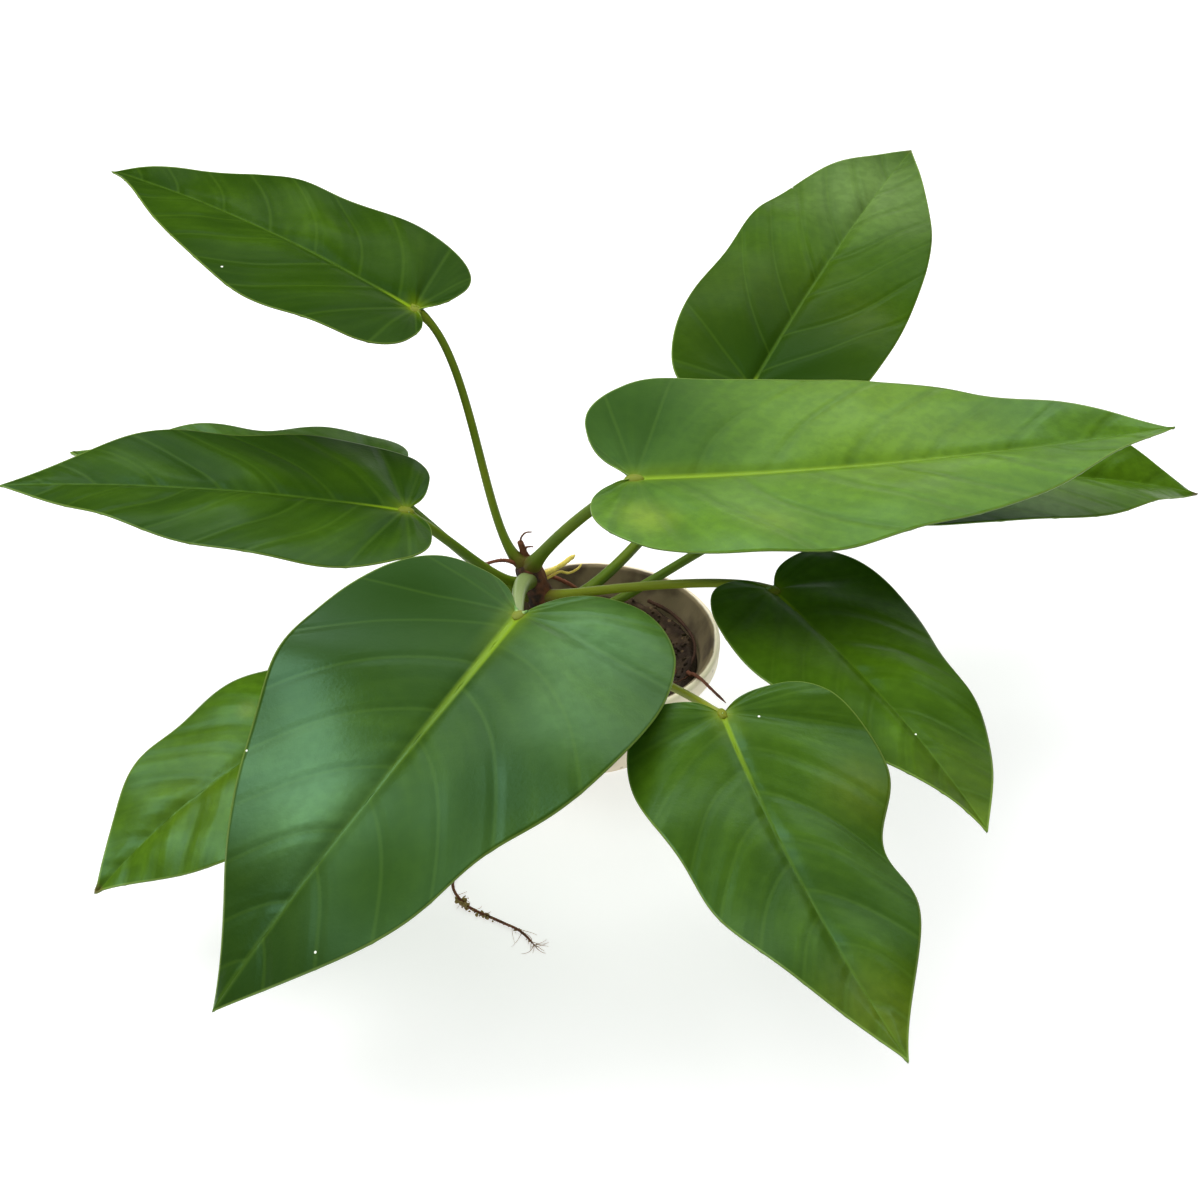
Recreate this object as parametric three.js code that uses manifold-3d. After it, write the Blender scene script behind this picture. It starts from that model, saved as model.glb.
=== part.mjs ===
// A potted anthurium with ten large leaves, in millimetres with +Z up.
// The origin is the centre of the pot's flat underside. Seen from -Y, +X is to the right.
import * as THREE from 'three';
import { mergeVertices } from 'three/addons/utils/BufferGeometryUtils.js';
import Module from 'manifold-3d';

const wasm = await Module();
wasm.setup();

// Clearance kept between pieces that touch
const GAP = 0.3;

const POT = {
  height: 46,
  rimRadius: 50,
  footRadius: 29,
  wall: 3.5,
  lipBand: 9,
  lipProud: 1.2,
  lipFacets: 5,
  bandBevel: 1.5,
  bandTaper: 0.4,
  floor: 4,
  slotLength: 24,
  slotWidth: 7,
  slotHeight: 5,
  slotTurns: [69, 159, 249, 339],
  sides: 48,
};

// Rings, ridge and mound are in shares of the soil's radius
const SOIL = {
  top: 34,
  rings: [1, 0.93, 0.84, 0.68, 0.5, 0.3, 0.15],
  ridgeRise: 2.5,
  ridgeAt: 0.93,
  ridgeReach: 0.05,
  moundRise: 2,
  moundReach: 0.35,
  bumpHeight: 0.7,
  bumpTurns: [0.45, 0.38],
};

// The stem leans from the middle of the soil to the crown, where the youngest leaves stand
const STEM = {
  foot: new THREE.Vector3(-5, 1, 20),
  crown: new THREE.Vector3(-25, 8, 76),
  footRadius: 6.5,
  crownRadius: 4.6,
  scarHeight: 0.5,
  scars: 5,
  bluntFrom: 0.97,
  bluntShare: 0.6,
  sides: 10,
  steps: 20,
};

const BLADE = {
  thickness: 0.8,
  lobeStations: 2,
  shoulderStations: 3,
  flankStations: 7,
  acrossSteps: 5,
  spineSteps: 40,
  veinBow: 0.05,
  rootLag: 1.15,
  waistReach: 0.13,
  curl: 10,
  ripple: 1.2,
  rippleCycles: 2.5,
  quilt: 0.5,
};

// How the half outline bends: lobe in shares of the lobe's length and the half width, shoulder and flank in
// shares of the stretch that they cross and of the half width
const OUTLINE = {
  notch: [0.5, 0.1],
  lobeTurn: 0.16,
  lobeBack: 0.48,
  shoulderRise: 0.8,
  shoulderPull: 0.55,
  flankPull: 0.3,
  flankFull: 0.35,
  tipPull: 0.28,
  tipSlope: 0.18,
  tipFull: 0.3,
};

// Each leaf, with its petiole. at is where the blade meets its petiole; heading turns from +X towards +Y.
// rise and roll are at the base and the tip. half, lobe, belly, full and waist are left and right of the
// midrib, seen along it from the petiole. half is the half width, lobe the length behind at, belly the place
// of the widest point, full the fullness towards the tip, and waist a narrowing, which lies at waistAt.
// stalk holds the height at which the petiole leaves the stem, its radius, and the two points it bends to.
const LEAVES = [
  {
    name: 'back_left',
    at: [-65, 44, 164], heading: 145, sweep: -2, rise: [13, -4], roll: [2, -5], fold: 9,
    length: 160, half: [43, 41], lobe: [13, 7], belly: [0.21, 0.2], full: [0.36, 0.58],
    waist: [0, 0.12], waistAt: [0.4, 0.44],
    stalk: { from: 74, radius: 1.8, bends: [[-41, 6, 79], [-43, 46, 154]] },
  },
  {
    name: 'left',
    at: [-67, -12, 112], heading: 179, sweep: -1, rise: [10, -4], roll: [1, -5], fold: 6,
    length: 148, half: [42, 41], lobe: [11, 7], belly: [0.2, 0.22], full: [0.49, 0.88],
    waist: [0.04, 0.11], waistAt: [0.45, 0.43],
    stalk: { from: 68, radius: 2.2, bends: [[-33, -8, 69], [-52, -6, 99]] },
  },
  {
    name: 'left_under',
    at: [-84, 46, 89], heading: 180, sweep: -8, rise: [2, 3], roll: [4, -6], fold: 5,
    length: 121, half: [36, 37], lobe: [15, 11], belly: [0.22, 0.22], full: [0.5, 0.66],
    waist: [0, 0.06], waistAt: [0.4, 0.4],
    stalk: { from: 60, radius: 2, bends: [[-38, 2, 65], [-66, 37, 79]] },
  },
  {
    name: 'front_left',
    at: [-24, -79, 114], heading: 248, sweep: -32, rise: [4, -48], roll: [-5, -4], fold: 8,
    length: 171, half: [62, 57], lobe: [20, 16], belly: [0.16, 0.21], full: [0.8, 0.72],
    waist: [0.15, -0.05], waistAt: [0.52, 0.34],
    stalk: { from: 68, radius: 2.2, bends: [[-30, -4, 74], [-24, -48, 92]], clasp: [1.6, 0.4] },
  },
  {
    name: 'front_left_under',
    at: [-90, -82, 74], heading: 212, sweep: 7, rise: [-5, -36], roll: [-3, -11], fold: 5,
    length: 99, half: [36, 33], lobe: [16, 16], belly: [0.24, 0.23], full: [0.9, 0.86],
    waist: [0.03, 0.06], waistAt: [0.4, 0.48],
    stalk: { from: 52, radius: 1.8, bends: [[-30, -14, 74], [-70, -63, 66]] },
  },
  {
    name: 'right',
    at: [16, -16, 128], heading: 7, sweep: 9, rise: [-2, 0], roll: [3, 0], fold: 11,
    length: 207, half: [56, 56], lobe: [15, 19], belly: [0.19, 0.18], full: [0.6, 0.55],
    waist: [0.08, 0.02], waistAt: [0.42, 0.42],
    stalk: { from: 72, radius: 2.6, bends: [[-16, 1, 89], [5, -7, 116]] },
  },
  {
    name: 'back_right',
    at: [66, 106, 95], heading: 63, sweep: 0, rise: [17, 3], roll: [9, 3], fold: 9,
    length: 188, half: [44.5, 46], lobe: [14, 16], belly: [0.26, 0.25], full: [1.1, 0.74],
    waist: [0.05, 0], waistAt: [0.38, 0.4],
    stalk: { from: 54, radius: 2.3, bends: [[14, 9, 65], [47, 80, 77]] },
  },
  {
    name: 'right_under',
    at: [99, 32, 90], heading: 8, sweep: 6, rise: [8, -22], roll: [-6, 14], fold: 14,
    length: 151, half: [44, 41], lobe: [19, 19], belly: [0.24, 0.23], full: [0.71, 0.65],
    waist: [0, 0.03], waistAt: [0.4, 0.42],
    stalk: { from: 48, radius: 2, bends: [[17, -3, 61], [61, 35, 87]] },
  },
  {
    name: 'right_front',
    at: [66, -34, 92], heading: 308, sweep: -20, rise: [-8, -3], roll: [0, -15], fold: 5,
    length: 131, half: [40, 34], lobe: [9, 11], belly: [0.17, 0.24], full: [0.81, 0.56],
    waist: [0.15, 0.03], waistAt: [0.43, 0.4],
    stalk: { from: 60, radius: 1.9, bends: [[-1, -9, 74], [62, -19, 90]] },
  },
  {
    name: 'front_right',
    at: [43, -119, 104], heading: 286, sweep: 9, rise: [-12, -8], roll: [3, -9], fold: 1,
    length: 136, half: [46, 37], lobe: [7, 8], belly: [0.19, 0.18], full: [0.71, 0.56],
    waist: [0.25, 0.09], waistAt: [0.46, 0.4],
    stalk: { from: 50, radius: 1.6, bends: [[-13, -32, 69], [38, -87, 87]] },
  },
];

// clasp is what the foot adds to the radius, and its reach in shares of the length, where the stalk has none
// of its own. neck is what the neck adds, where neckAt and neckReach are shares of the length. The seat lies
// seatPast beyond the blade's base and seatDepth radii under its lower face.
const PETIOLE = {
  sides: 8,
  steps: 13,
  thinning: 0.15,
  clasp: [1.5, 0.12],
  neck: 0.3,
  neckAt: 0.92,
  neckReach: 0.06,
  seatPast: 2,
  seatDepth: 0.75,
};

// Roots, each a list of points that its middle runs through, with its radius at the start and the end
const ROOTS = [
  {
    name: 'root_aerial_left', radii: [0.9, 0.5],
    path: [[-25, 7, 72], [-31, 5.5, 77], [-35, 5, 77.5], [-40, 5, 76], [-44, 5, 74.5]],
  },
  {
    name: 'root_aerial_yellow', radii: [1.2, 0.9],
    path: [[-22, 7, 68], [-16, 9, 69.5], [-12, 10, 71.5], [-6, 11, 76]],
  },
  {
    name: 'root_aerial_thin', radii: [0.6, 0.4],
    path: [[-21, 7, 66], [-16, 9, 67], [-12, 10, 68.8], [-8.5, 10.5, 67.9], [-5, 11, 69.6],
      [-3.5, 11.5, 71.5]],
  },
  {
    name: 'root_red', radii: [0.9, 0.6],
    path: [[-21, 7, 64], [-16, 12, 65], [-11, 13, 62.5], [-6, 13, 59], [0, 13, 51], [4, 14, 42],
      [6, 15, 36.2]],
  },
  {
    name: 'root_rusty', radii: [1, 0.6],
    path: [[-15, 5, 50], [-17, 14, 47], [-16, 24, 42], [-12, 32, 37.5], [-6, 35.5, 36.9]],
  },
  {
    name: 'root_wall', radii: [1.2, 0.8],
    path: [[23, 33.5, 38], [31, 26.2, 38], [36.5, 17.5, 38], [40, 8, 38], [40.4, 0, 38], [38.6, -8.6, 38]],
  },
  {
    name: 'root_over_rim', radii: [0.9, 0.5],
    path: [[37.2, -13.5, 38.2], [38.3, -20.5, 42.5], [38.8, -25, 46.3], [41.5, -29.5, 47.3], [45, -33.5, 46],
      [50.4, -38.1, 43]],
  },
  {
    name: 'root_drain', radii: [0.8, 0.6],
    path: [[-6.6, -17.3, 3.4], [-8.6, -22.5, 2.2], [-12, -31, 1], [-22, -52, 1], [-40, -72, 1],
      [-50, -90, 1], [-45, -101, 1], [-34, -108.5, 1], [-24.8, -114.4, 1], [-19, -122, 1]],
  },
];
const ROOT_SIDES = 6;

const FINISHES = {
  pot: { color: 0xcfc6b4, roughness: 0.55 },
  soil: { color: 0x33261c, roughness: 0.95 },
  stem: { color: 0x5a3b26, roughness: 0.8 },
  blade: { color: 0x2f6428, roughness: 0.38 },
  petiole: { color: 0x5d7a26, roughness: 0.45 },
  sheath: { color: 0x6b4a2c, roughness: 0.85 },
  root: { color: 0x5f3320, roughness: 0.8 },
  root_yellow: { color: 0xb8a03c, roughness: 0.6 },
};

const plant = new THREE.Group();

function addPiece(name, geometry, finish) {
  const material = new THREE.MeshStandardMaterial({ ...FINISHES[finish], metalness: 0 });
  const mesh = new THREE.Mesh(geometry, material);
  mesh.name = name;
  plant.add(mesh);
}

function radians(degrees) {
  return THREE.MathUtils.degToRad(degrees);
}

function pairMix(pair, t) {
  return THREE.MathUtils.lerp(pair[0], pair[1], t);
}

// A geometry as a closed solid with shared corners merged, for joining and cutting
function toSolid(geometry) {
  const bare = geometry.clone();
  bare.deleteAttribute('normal');
  bare.deleteAttribute('uv');
  const merged = mergeVertices(bare, 1e-4);
  const corners = Float32Array.from(merged.attributes.position.array);
  const triangles = Uint32Array.from(merged.index.array);
  return new wasm.Manifold(new wasm.Mesh({ numProp: 3, vertProperties: corners, triVerts: triangles }));
}

// The largest body of a solid, as a geometry; slivers that a cut leaves are dropped
function toGeometry(solid) {
  const bodies = solid.decompose();
  const largest = bodies.reduce((best, body) => (body.volume() > best.volume() ? body : best));
  const mesh = largest.getMesh();
  const geometry = new THREE.BufferGeometry();
  const corners = new Float32Array(mesh.numVert * 3);
  for (let i = 0; i < mesh.numVert; i += 1) {
    for (let k = 0; k < 3; k += 1) {
      corners[i * 3 + k] = mesh.vertProperties[i * mesh.numProp + k];
    }
  }
  geometry.setAttribute('position', new THREE.BufferAttribute(corners, 3));
  geometry.setIndex(Array.from(mesh.triVerts));
  return geometry;
}

function cutBy(solid, tools) {
  return tools.reduce((left, tool) => left.subtract(tool), solid);
}

// A tube along a curve whose radius follows radiusAt(0..1)
function tube(curve, radiusAt, sides, steps) {
  const section = new THREE.Shape();
  for (let i = 0; i < sides; i += 1) {
    const turn = (i / sides) * Math.PI * 2;
    const corner = [Math.cos(turn), Math.sin(turn)];
    if (i === 0) section.moveTo(...corner);
    else section.lineTo(...corner);
  }
  section.closePath();
  const geometry = new THREE.ExtrudeGeometry(section, { steps, extrudePath: curve });
  const centres = curve.getSpacedPoints(steps);
  const position = geometry.attributes.position;
  const point = new THREE.Vector3();
  for (let i = 0; i < position.count; i += 1) {
    point.fromBufferAttribute(position, i);
    const distances = centres.map((centre) => point.distanceToSquared(centre));
    const ring = distances.indexOf(Math.min(...distances));
    point.sub(centres[ring]).multiplyScalar(radiusAt(ring / steps)).add(centres[ring]);
    position.setXYZ(i, point.x, point.y, point.z);
  }
  return geometry;
}

// Pot: a tapered wall with a proud band and a round lip, and a flat floor with drain slots at its edge
function potWallRadius(z) {
  return THREE.MathUtils.lerp(POT.footRadius, POT.rimRadius - POT.lipProud, z / POT.height);
}

function makePot() {
  const { height, rimRadius, footRadius, wall, floor, slotLength, slotWidth, slotHeight } = POT;
  const profile = new THREE.Path();
  const lip = wall / 2;
  const bandFoot = height - POT.lipBand;
  profile.moveTo(0, 0);
  profile.lineTo(footRadius, 0);
  profile.lineTo(potWallRadius(bandFoot), bandFoot);
  profile.lineTo(rimRadius - POT.bandTaper, bandFoot + POT.bandBevel);
  profile.lineTo(rimRadius, height - lip);
  profile.absarc(rimRadius - lip, height - lip, lip, 0, Math.PI, false);
  profile.lineTo(potWallRadius(floor) - wall, floor);
  profile.lineTo(0, floor);
  const spun = new THREE.LatheGeometry(profile.getPoints(POT.lipFacets), POT.sides);
  const shell = toSolid(spun.rotateX(Math.PI / 2));
  const slot = new THREE.BoxGeometry(slotLength, slotWidth, 2 * slotHeight);
  const slots = POT.slotTurns.map((turn) => toSolid(
    slot.clone().translate(footRadius, 0, 0).rotateZ(radians(turn)),
  ));
  return cutBy(shell, slots);
}

// Soil fills the pot to just below the rim, with a ridge at the wall and a low mound round the stem
function potInnerRadius(z) {
  const share = (z - POT.floor) / (POT.height - POT.wall / 2 - POT.floor);
  return THREE.MathUtils.lerp(potWallRadius(POT.floor) - POT.wall, POT.rimRadius - POT.wall, share);
}

function makeSoil() {
  const low = POT.floor + GAP;
  const lowRadius = potInnerRadius(low) - GAP;
  const topRadius = potInnerRadius(SOIL.top) - GAP;
  const outline = [new THREE.Vector2(0, low), new THREE.Vector2(lowRadius, low)];
  SOIL.rings.forEach((share) => outline.push(new THREE.Vector2(topRadius * share, SOIL.top)));
  outline.push(new THREE.Vector2(0, SOIL.top));
  const geometry = new THREE.LatheGeometry(outline, POT.sides);
  const position = geometry.attributes.position;
  const [turnX, turnZ] = SOIL.bumpTurns;
  for (let i = 0; i < position.count; i += 1) {
    const x = position.getX(i);
    const z = position.getZ(i);
    if (position.getY(i) > SOIL.top / 2) {
      const share = Math.hypot(x, z) / topRadius;
      const ridge = SOIL.ridgeRise * Math.exp(-(((share - SOIL.ridgeAt) / SOIL.ridgeReach) ** 2));
      const mound = SOIL.moundRise * Math.exp(-((share / SOIL.moundReach) ** 2));
      const bump = SOIL.bumpHeight * Math.sin(x * turnX) * Math.cos(z * turnZ + 1);
      position.setY(i, SOIL.top + ridge + mound + bump);
    }
  }
  return toSolid(geometry.rotateX(Math.PI / 2));
}

// Stem: a leaning trunk with the low rings that old leaves left, and a blunt crown
const stemAxis = new THREE.CubicBezierCurve3(
  STEM.foot,
  STEM.foot.clone().add(new THREE.Vector3(-3, 1, 18)),
  STEM.crown.clone().add(new THREE.Vector3(6, -2, -20)),
  STEM.crown,
);

function makeStem(grow) {
  const radiusAt = (t) => {
    const plain = THREE.MathUtils.lerp(STEM.footRadius, STEM.crownRadius, t);
    const scar = STEM.scarHeight * Math.abs(Math.sin(t * STEM.scars * Math.PI));
    const blunt = t > STEM.bluntFrom ? STEM.bluntShare : 1;
    return (plain + scar) * blunt + grow;
  };
  return toSolid(tube(stemAxis, radiusAt, STEM.sides, STEM.steps));
}

function stemPointAt(z) {
  const t = (z - STEM.foot.z) / (STEM.crown.z - STEM.foot.z);
  return stemAxis.getPoint(t);
}

// Flat half outline of a blade, from the base round the lobe to the tip, x along the midrib and y outwards
function marginStations(leaf, side) {
  const width = leaf.half[side];
  const lobe = leaf.lobe[side];
  const belly = leaf.belly[side] * leaf.length;
  const full = leaf.full[side];
  const reach = leaf.length - belly;
  const flat = (x, y) => new THREE.Vector2(x, y);
  const back = flat(-lobe, OUTLINE.lobeBack * width);
  const widest = flat(belly, width);
  const curves = [
    [BLADE.lobeStations, new THREE.CubicBezierCurve(
      flat(0, 0),
      flat(-OUTLINE.notch[0] * lobe, OUTLINE.notch[1] * width),
      flat(-lobe, OUTLINE.lobeTurn * width),
      back)],
    [BLADE.shoulderStations, new THREE.CubicBezierCurve(
      back,
      flat(-lobe, OUTLINE.shoulderRise * width),
      flat(belly - OUTLINE.shoulderPull * (belly + lobe), width),
      widest)],
    [BLADE.flankStations, new THREE.CubicBezierCurve(
      widest,
      flat(belly + (OUTLINE.flankPull + OUTLINE.flankFull * full) * reach, width),
      flat(leaf.length - OUTLINE.tipPull * reach, (OUTLINE.tipSlope + OUTLINE.tipFull * full) * width),
      flat(leaf.length, 0))],
  ];
  const stations = [];
  curves.forEach(([count, curve]) => {
    for (let i = 1; i <= count; i += 1) {
      const point = curve.getPoint(i / count);
      const off = (point.x / leaf.length - leaf.waistAt[side]) / BLADE.waistReach;
      point.y *= 1 - leaf.waist[side] * Math.exp(-(off ** 2));
      stations.push(point);
    }
  });
  return stations;
}

// The midrib in space, from the base to the tip
function makeSpine(leaf) {
  const spine = [new THREE.Vector3()];
  for (let i = 0; i < BLADE.spineSteps; i += 1) {
    const t = (i + 0.5) / BLADE.spineSteps;
    const step = directionAt(leaf, t).multiplyScalar(leaf.length / BLADE.spineSteps);
    spine.push(spine[i].clone().add(step));
  }
  return spine;
}

function directionAt(leaf, t) {
  const pitch = radians(pairMix(leaf.rise, t));
  const turn = radians(leaf.heading + leaf.sweep * t);
  return new THREE.Vector3(
    Math.cos(pitch) * Math.cos(turn),
    Math.cos(pitch) * Math.sin(turn),
    Math.sin(pitch),
  );
}

// Directions along the midrib, to the left of it and out of the upper face, at t from base to tip
function frameAt(leaf, t) {
  const along = directionAt(leaf, t);
  const turn = radians(leaf.heading + leaf.sweep * t);
  const roll = radians(pairMix(leaf.roll, t));
  const level = new THREE.Vector3(-Math.sin(turn), Math.cos(turn), 0);
  const above = along.clone().cross(level);
  const left = level.clone().multiplyScalar(Math.cos(roll)).addScaledVector(above, Math.sin(roll));
  const up = above.multiplyScalar(Math.cos(roll)).addScaledVector(level, -Math.sin(roll));
  return { along, left, up };
}

// A flat point of the blade bent to its place in space. across runs from 0 at the midrib to 1 at the margin.
function bendPoint(leaf, spine, x, y, across, lift) {
  const t = THREE.MathUtils.clamp(x / leaf.length, 0, 1);
  const place = t * BLADE.spineSteps;
  const step = Math.min(Math.floor(place), BLADE.spineSteps - 1);
  const point = spine[step].clone().lerp(spine[step + 1], place - step);
  const { along, left, up } = frameAt(leaf, t);
  point.addScaledVector(along, Math.min(x, 0));
  const width = leaf.half[y >= 0 ? 0 : 1];
  const tilt = radians(leaf.fold - (BLADE.curl * Math.abs(y)) / width / 2);
  const wave = BLADE.ripple * Math.sin(BLADE.rippleCycles * 2 * Math.PI * t + leaf.heading) * across ** 2;
  point.addScaledVector(left, y * Math.cos(tilt));
  point.addScaledVector(up, Math.abs(y) * Math.sin(tilt) + wave + lift);
  return point.add(new THREE.Vector3(...leaf.at));
}

// The blade's middle surface as ribs that run out to the margin, then given its thickness
function makeBlade(leaf, thickness) {
  const spine = makeSpine(leaf);
  const fan = BLADE.lobeStations + BLADE.shoulderStations;
  const ribs = fan + BLADE.flankStations;
  const across = BLADE.acrossSteps;
  const points = [bendPoint(leaf, spine, 0, 0, 0, 0)];
  const rootIds = [];
  for (let rib = 0; rib < ribs; rib += 1) {
    const share = rib < fan ? 0 : ((rib - fan + 1) / BLADE.flankStations) ** BLADE.rootLag;
    if (share === 0) {
      rootIds.push(0);
    } else {
      rootIds.push(points.length);
      points.push(bendPoint(leaf, spine, share * leaf.length, 0, 0, 0));
    }
  }
  const tip = rootIds[ribs - 1];
  const halves = [0, 1].map((side) => marginStations(leaf, side).map((end, rib) => {
    if (rib === ribs - 1) return new Array(across + 1).fill(tip);
    const share = rib < fan ? 0 : ((rib - fan + 1) / BLADE.flankStations) ** BLADE.rootLag;
    const root = share * leaf.length;
    const bow = rib < fan ? 0 : BLADE.veinBow * leaf.length * (1 - share);
    const ids = [rootIds[rib]];
    for (let j = 1; j <= across; j += 1) {
      const v = j / across;
      const x = root + (end.x - root) * v - bow * Math.sin(Math.PI * v);
      const y = end.y * v * (side === 0 ? 1 : -1);
      const lift = BLADE.quilt * Math.sin(Math.PI * v) * (rib % 2 === 0 ? 1 : -1);
      ids.push(points.length);
      points.push(bendPoint(leaf, spine, x, y, v, lift));
    }
    return ids;
  }));
  const faces = [];
  const addFace = (a, b, c) => {
    if (a !== b && b !== c && a !== c) faces.push([a, b, c]);
  };
  halves.forEach((half, side) => {
    for (let rib = 0; rib < ribs - 1; rib += 1) {
      for (let j = 0; j < across; j += 1) {
        const [a, b] = [half[rib][j], half[rib][j + 1]];
        const [c, d] = [half[rib + 1][j + 1], half[rib + 1][j]];
        if (side === 0) {
          addFace(a, c, b);
          addFace(a, d, c);
        } else {
          addFace(a, b, c);
          addFace(a, c, d);
        }
      }
    }
  });
  const edge = [
    ...halves[1][0],
    ...halves[1].slice(1, -1).map((ids) => ids[across]),
    tip,
    ...halves[0].slice(1, -1).reverse().map((ids) => ids[across]),
    ...halves[0][0].slice(1).reverse(),
  ];
  return thicken(points, faces, edge, thickness);
}

function thicken(points, faces, edge, thickness) {
  const middle = new THREE.BufferGeometry().setFromPoints(points);
  middle.setIndex(faces.flat());
  middle.computeVertexNormals();
  const count = points.length;
  const corners = new Float32Array(count * 6);
  const point = new THREE.Vector3();
  const normal = new THREE.Vector3();
  for (let i = 0; i < count; i += 1) {
    normal.fromBufferAttribute(middle.attributes.normal, i);
    point.copy(points[i]).addScaledVector(normal, thickness / 2).toArray(corners, i * 3);
    point.copy(points[i]).addScaledVector(normal, -thickness / 2).toArray(corners, (count + i) * 3);
  }
  const index = faces.flatMap(([a, b, c]) => [a, b, c, a + count, c + count, b + count]);
  edge.forEach((a, i) => {
    const b = edge[(i + 1) % edge.length];
    index.push(a, a + count, b + count, a, b + count, b);
  });
  const geometry = new THREE.BufferGeometry();
  geometry.setAttribute('position', new THREE.BufferAttribute(corners, 3));
  geometry.setIndex(index);
  return geometry;
}

// Petiole: from the stem's middle to its seat under the blade's base, with a clasping foot and a thicker neck
function makePetiole(leaf, grow) {
  const { from, radius, bends, clasp = PETIOLE.clasp } = leaf.stalk;
  const { along, up } = frameAt(leaf, 0);
  const below = BLADE.thickness / 2 + GAP + PETIOLE.seatDepth * radius;
  const seat = new THREE.Vector3(...leaf.at)
    .addScaledVector(along, PETIOLE.seatPast)
    .addScaledVector(up, -below);
  const points = bends.map((bend) => new THREE.Vector3(...bend));
  const curve = new THREE.CubicBezierCurve3(stemPointAt(from), ...points, seat);
  const radiusAt = (t) => {
    const foot = clasp[0] * Math.exp(-((t / clasp[1]) ** 2));
    const neck = PETIOLE.neck * Math.exp(-(((t - PETIOLE.neckAt) / PETIOLE.neckReach) ** 2));
    return radius * (1 - PETIOLE.thinning * t) + foot + neck + grow;
  };
  return toSolid(tube(curve, radiusAt, PETIOLE.sides, PETIOLE.steps));
}

function makeRoot(root, grow) {
  const curve = new THREE.CatmullRomCurve3(root.path.map((point) => new THREE.Vector3(...point)));
  const radiusAt = (t) => pairMix(root.radii, t) + grow;
  return toSolid(tube(curve, radiusAt, ROOT_SIDES, 3 * root.path.length));
}

// The dry remains of old sheaths at the crown: a stub with two fibres that grow out of it
const SHEATH = [
  { radii: [2.3, 1.1], path: [[-22.5, 8, 70], [-24, 9, 74], [-25.3, 9.5, 77.5], [-26.8, 9.5, 83.2]] },
  { radii: [0.7, 0.4], path: [[-26.4, 9.5, 81], [-26.4, 9.4, 85], [-24.6, 9, 87.6], [-22.3, 9, 88]] },
  { radii: [0.8, 0.4], path: [[-25.6, 9.5, 78], [-24.6, 9.3, 80.6], [-23.4, 9, 81.2], [-21.8, 9, 81.2]] },
];

function makeSheath(grow) {
  const parts = SHEATH.map((part) => makeRoot(part, grow));
  return parts.reduce((whole, part) => whole.add(part));
}

const potSolid = makePot();
const stemSolid = makeStem(0);
const stemSpace = makeStem(GAP);

addPiece('pot', toGeometry(potSolid), 'pot');
addPiece('stem', toGeometry(stemSolid), 'stem');

// Pieces that leave the stem are cut clear of it and of the ones made before them
const taken = [stemSpace];
LEAVES.forEach((leaf) => {
  const blade = makeBlade(leaf, BLADE.thickness);
  addPiece(`blade_${leaf.name}`, blade, 'blade');
  const bladeSpace = toSolid(makeBlade(leaf, BLADE.thickness + 2 * GAP));
  const petiole = cutBy(makePetiole(leaf, 0), [bladeSpace, ...taken]);
  addPiece(`petiole_${leaf.name}`, toGeometry(petiole), 'petiole');
  taken.push(makePetiole(leaf, GAP));
});
addPiece('sheath_old', toGeometry(cutBy(makeSheath(0), taken)), 'sheath');
taken.push(makeSheath(GAP));
ROOTS.forEach((root) => {
  const finish = root.name.includes('yellow') || root.name.includes('thin') ? 'root_yellow' : 'root';
  addPiece(root.name, toGeometry(cutBy(makeRoot(root, 0), taken)), finish);
  taken.push(makeRoot(root, GAP));
});
addPiece('soil', toGeometry(cutBy(makeSoil(), taken)), 'soil');

export default plant;
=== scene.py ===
"""A potted anthurium: ten leathery blades, their stalks, the stem, roots, soil and pot, on a pale floor."""

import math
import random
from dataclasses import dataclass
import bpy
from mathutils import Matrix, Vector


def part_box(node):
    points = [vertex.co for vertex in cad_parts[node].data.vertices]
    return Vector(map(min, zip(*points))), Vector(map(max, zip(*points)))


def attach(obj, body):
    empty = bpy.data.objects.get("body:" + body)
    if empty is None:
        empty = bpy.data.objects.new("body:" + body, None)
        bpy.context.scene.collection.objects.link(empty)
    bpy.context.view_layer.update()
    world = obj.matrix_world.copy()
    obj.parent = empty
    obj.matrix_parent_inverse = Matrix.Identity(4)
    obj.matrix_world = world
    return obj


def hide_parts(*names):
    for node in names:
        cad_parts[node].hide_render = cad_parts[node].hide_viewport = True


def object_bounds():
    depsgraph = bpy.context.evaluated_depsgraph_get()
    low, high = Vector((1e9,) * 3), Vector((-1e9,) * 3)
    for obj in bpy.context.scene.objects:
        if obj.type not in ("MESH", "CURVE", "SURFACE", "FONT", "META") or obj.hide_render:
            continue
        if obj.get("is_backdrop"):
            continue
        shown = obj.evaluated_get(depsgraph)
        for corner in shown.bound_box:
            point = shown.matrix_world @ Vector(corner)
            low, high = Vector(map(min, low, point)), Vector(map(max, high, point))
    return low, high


bl_info = {
    "name": "Potted Anthurium",
    "version": (1, 0, 0),
    "blender": (4, 5, 0),
    "location": "View3D > Sidebar > Plant",
    "description": "Builds a potted anthurium around its packed model, piece by piece",
    "category": "Add Mesh",
}

import bmesh
import bpy
from bpy.props import FloatProperty, FloatVectorProperty, IntProperty, PointerProperty
from mathutils import Euler, Matrix, Vector, noise

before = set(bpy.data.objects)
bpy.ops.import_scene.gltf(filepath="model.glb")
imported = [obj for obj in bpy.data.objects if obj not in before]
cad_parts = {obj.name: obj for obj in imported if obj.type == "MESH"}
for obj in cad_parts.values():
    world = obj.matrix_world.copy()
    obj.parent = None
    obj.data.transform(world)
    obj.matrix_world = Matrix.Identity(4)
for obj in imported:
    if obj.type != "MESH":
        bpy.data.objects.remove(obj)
SOLIDS_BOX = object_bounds()

BODY = "root"
MM = 0.001
POT_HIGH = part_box("pot")[1]

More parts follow.
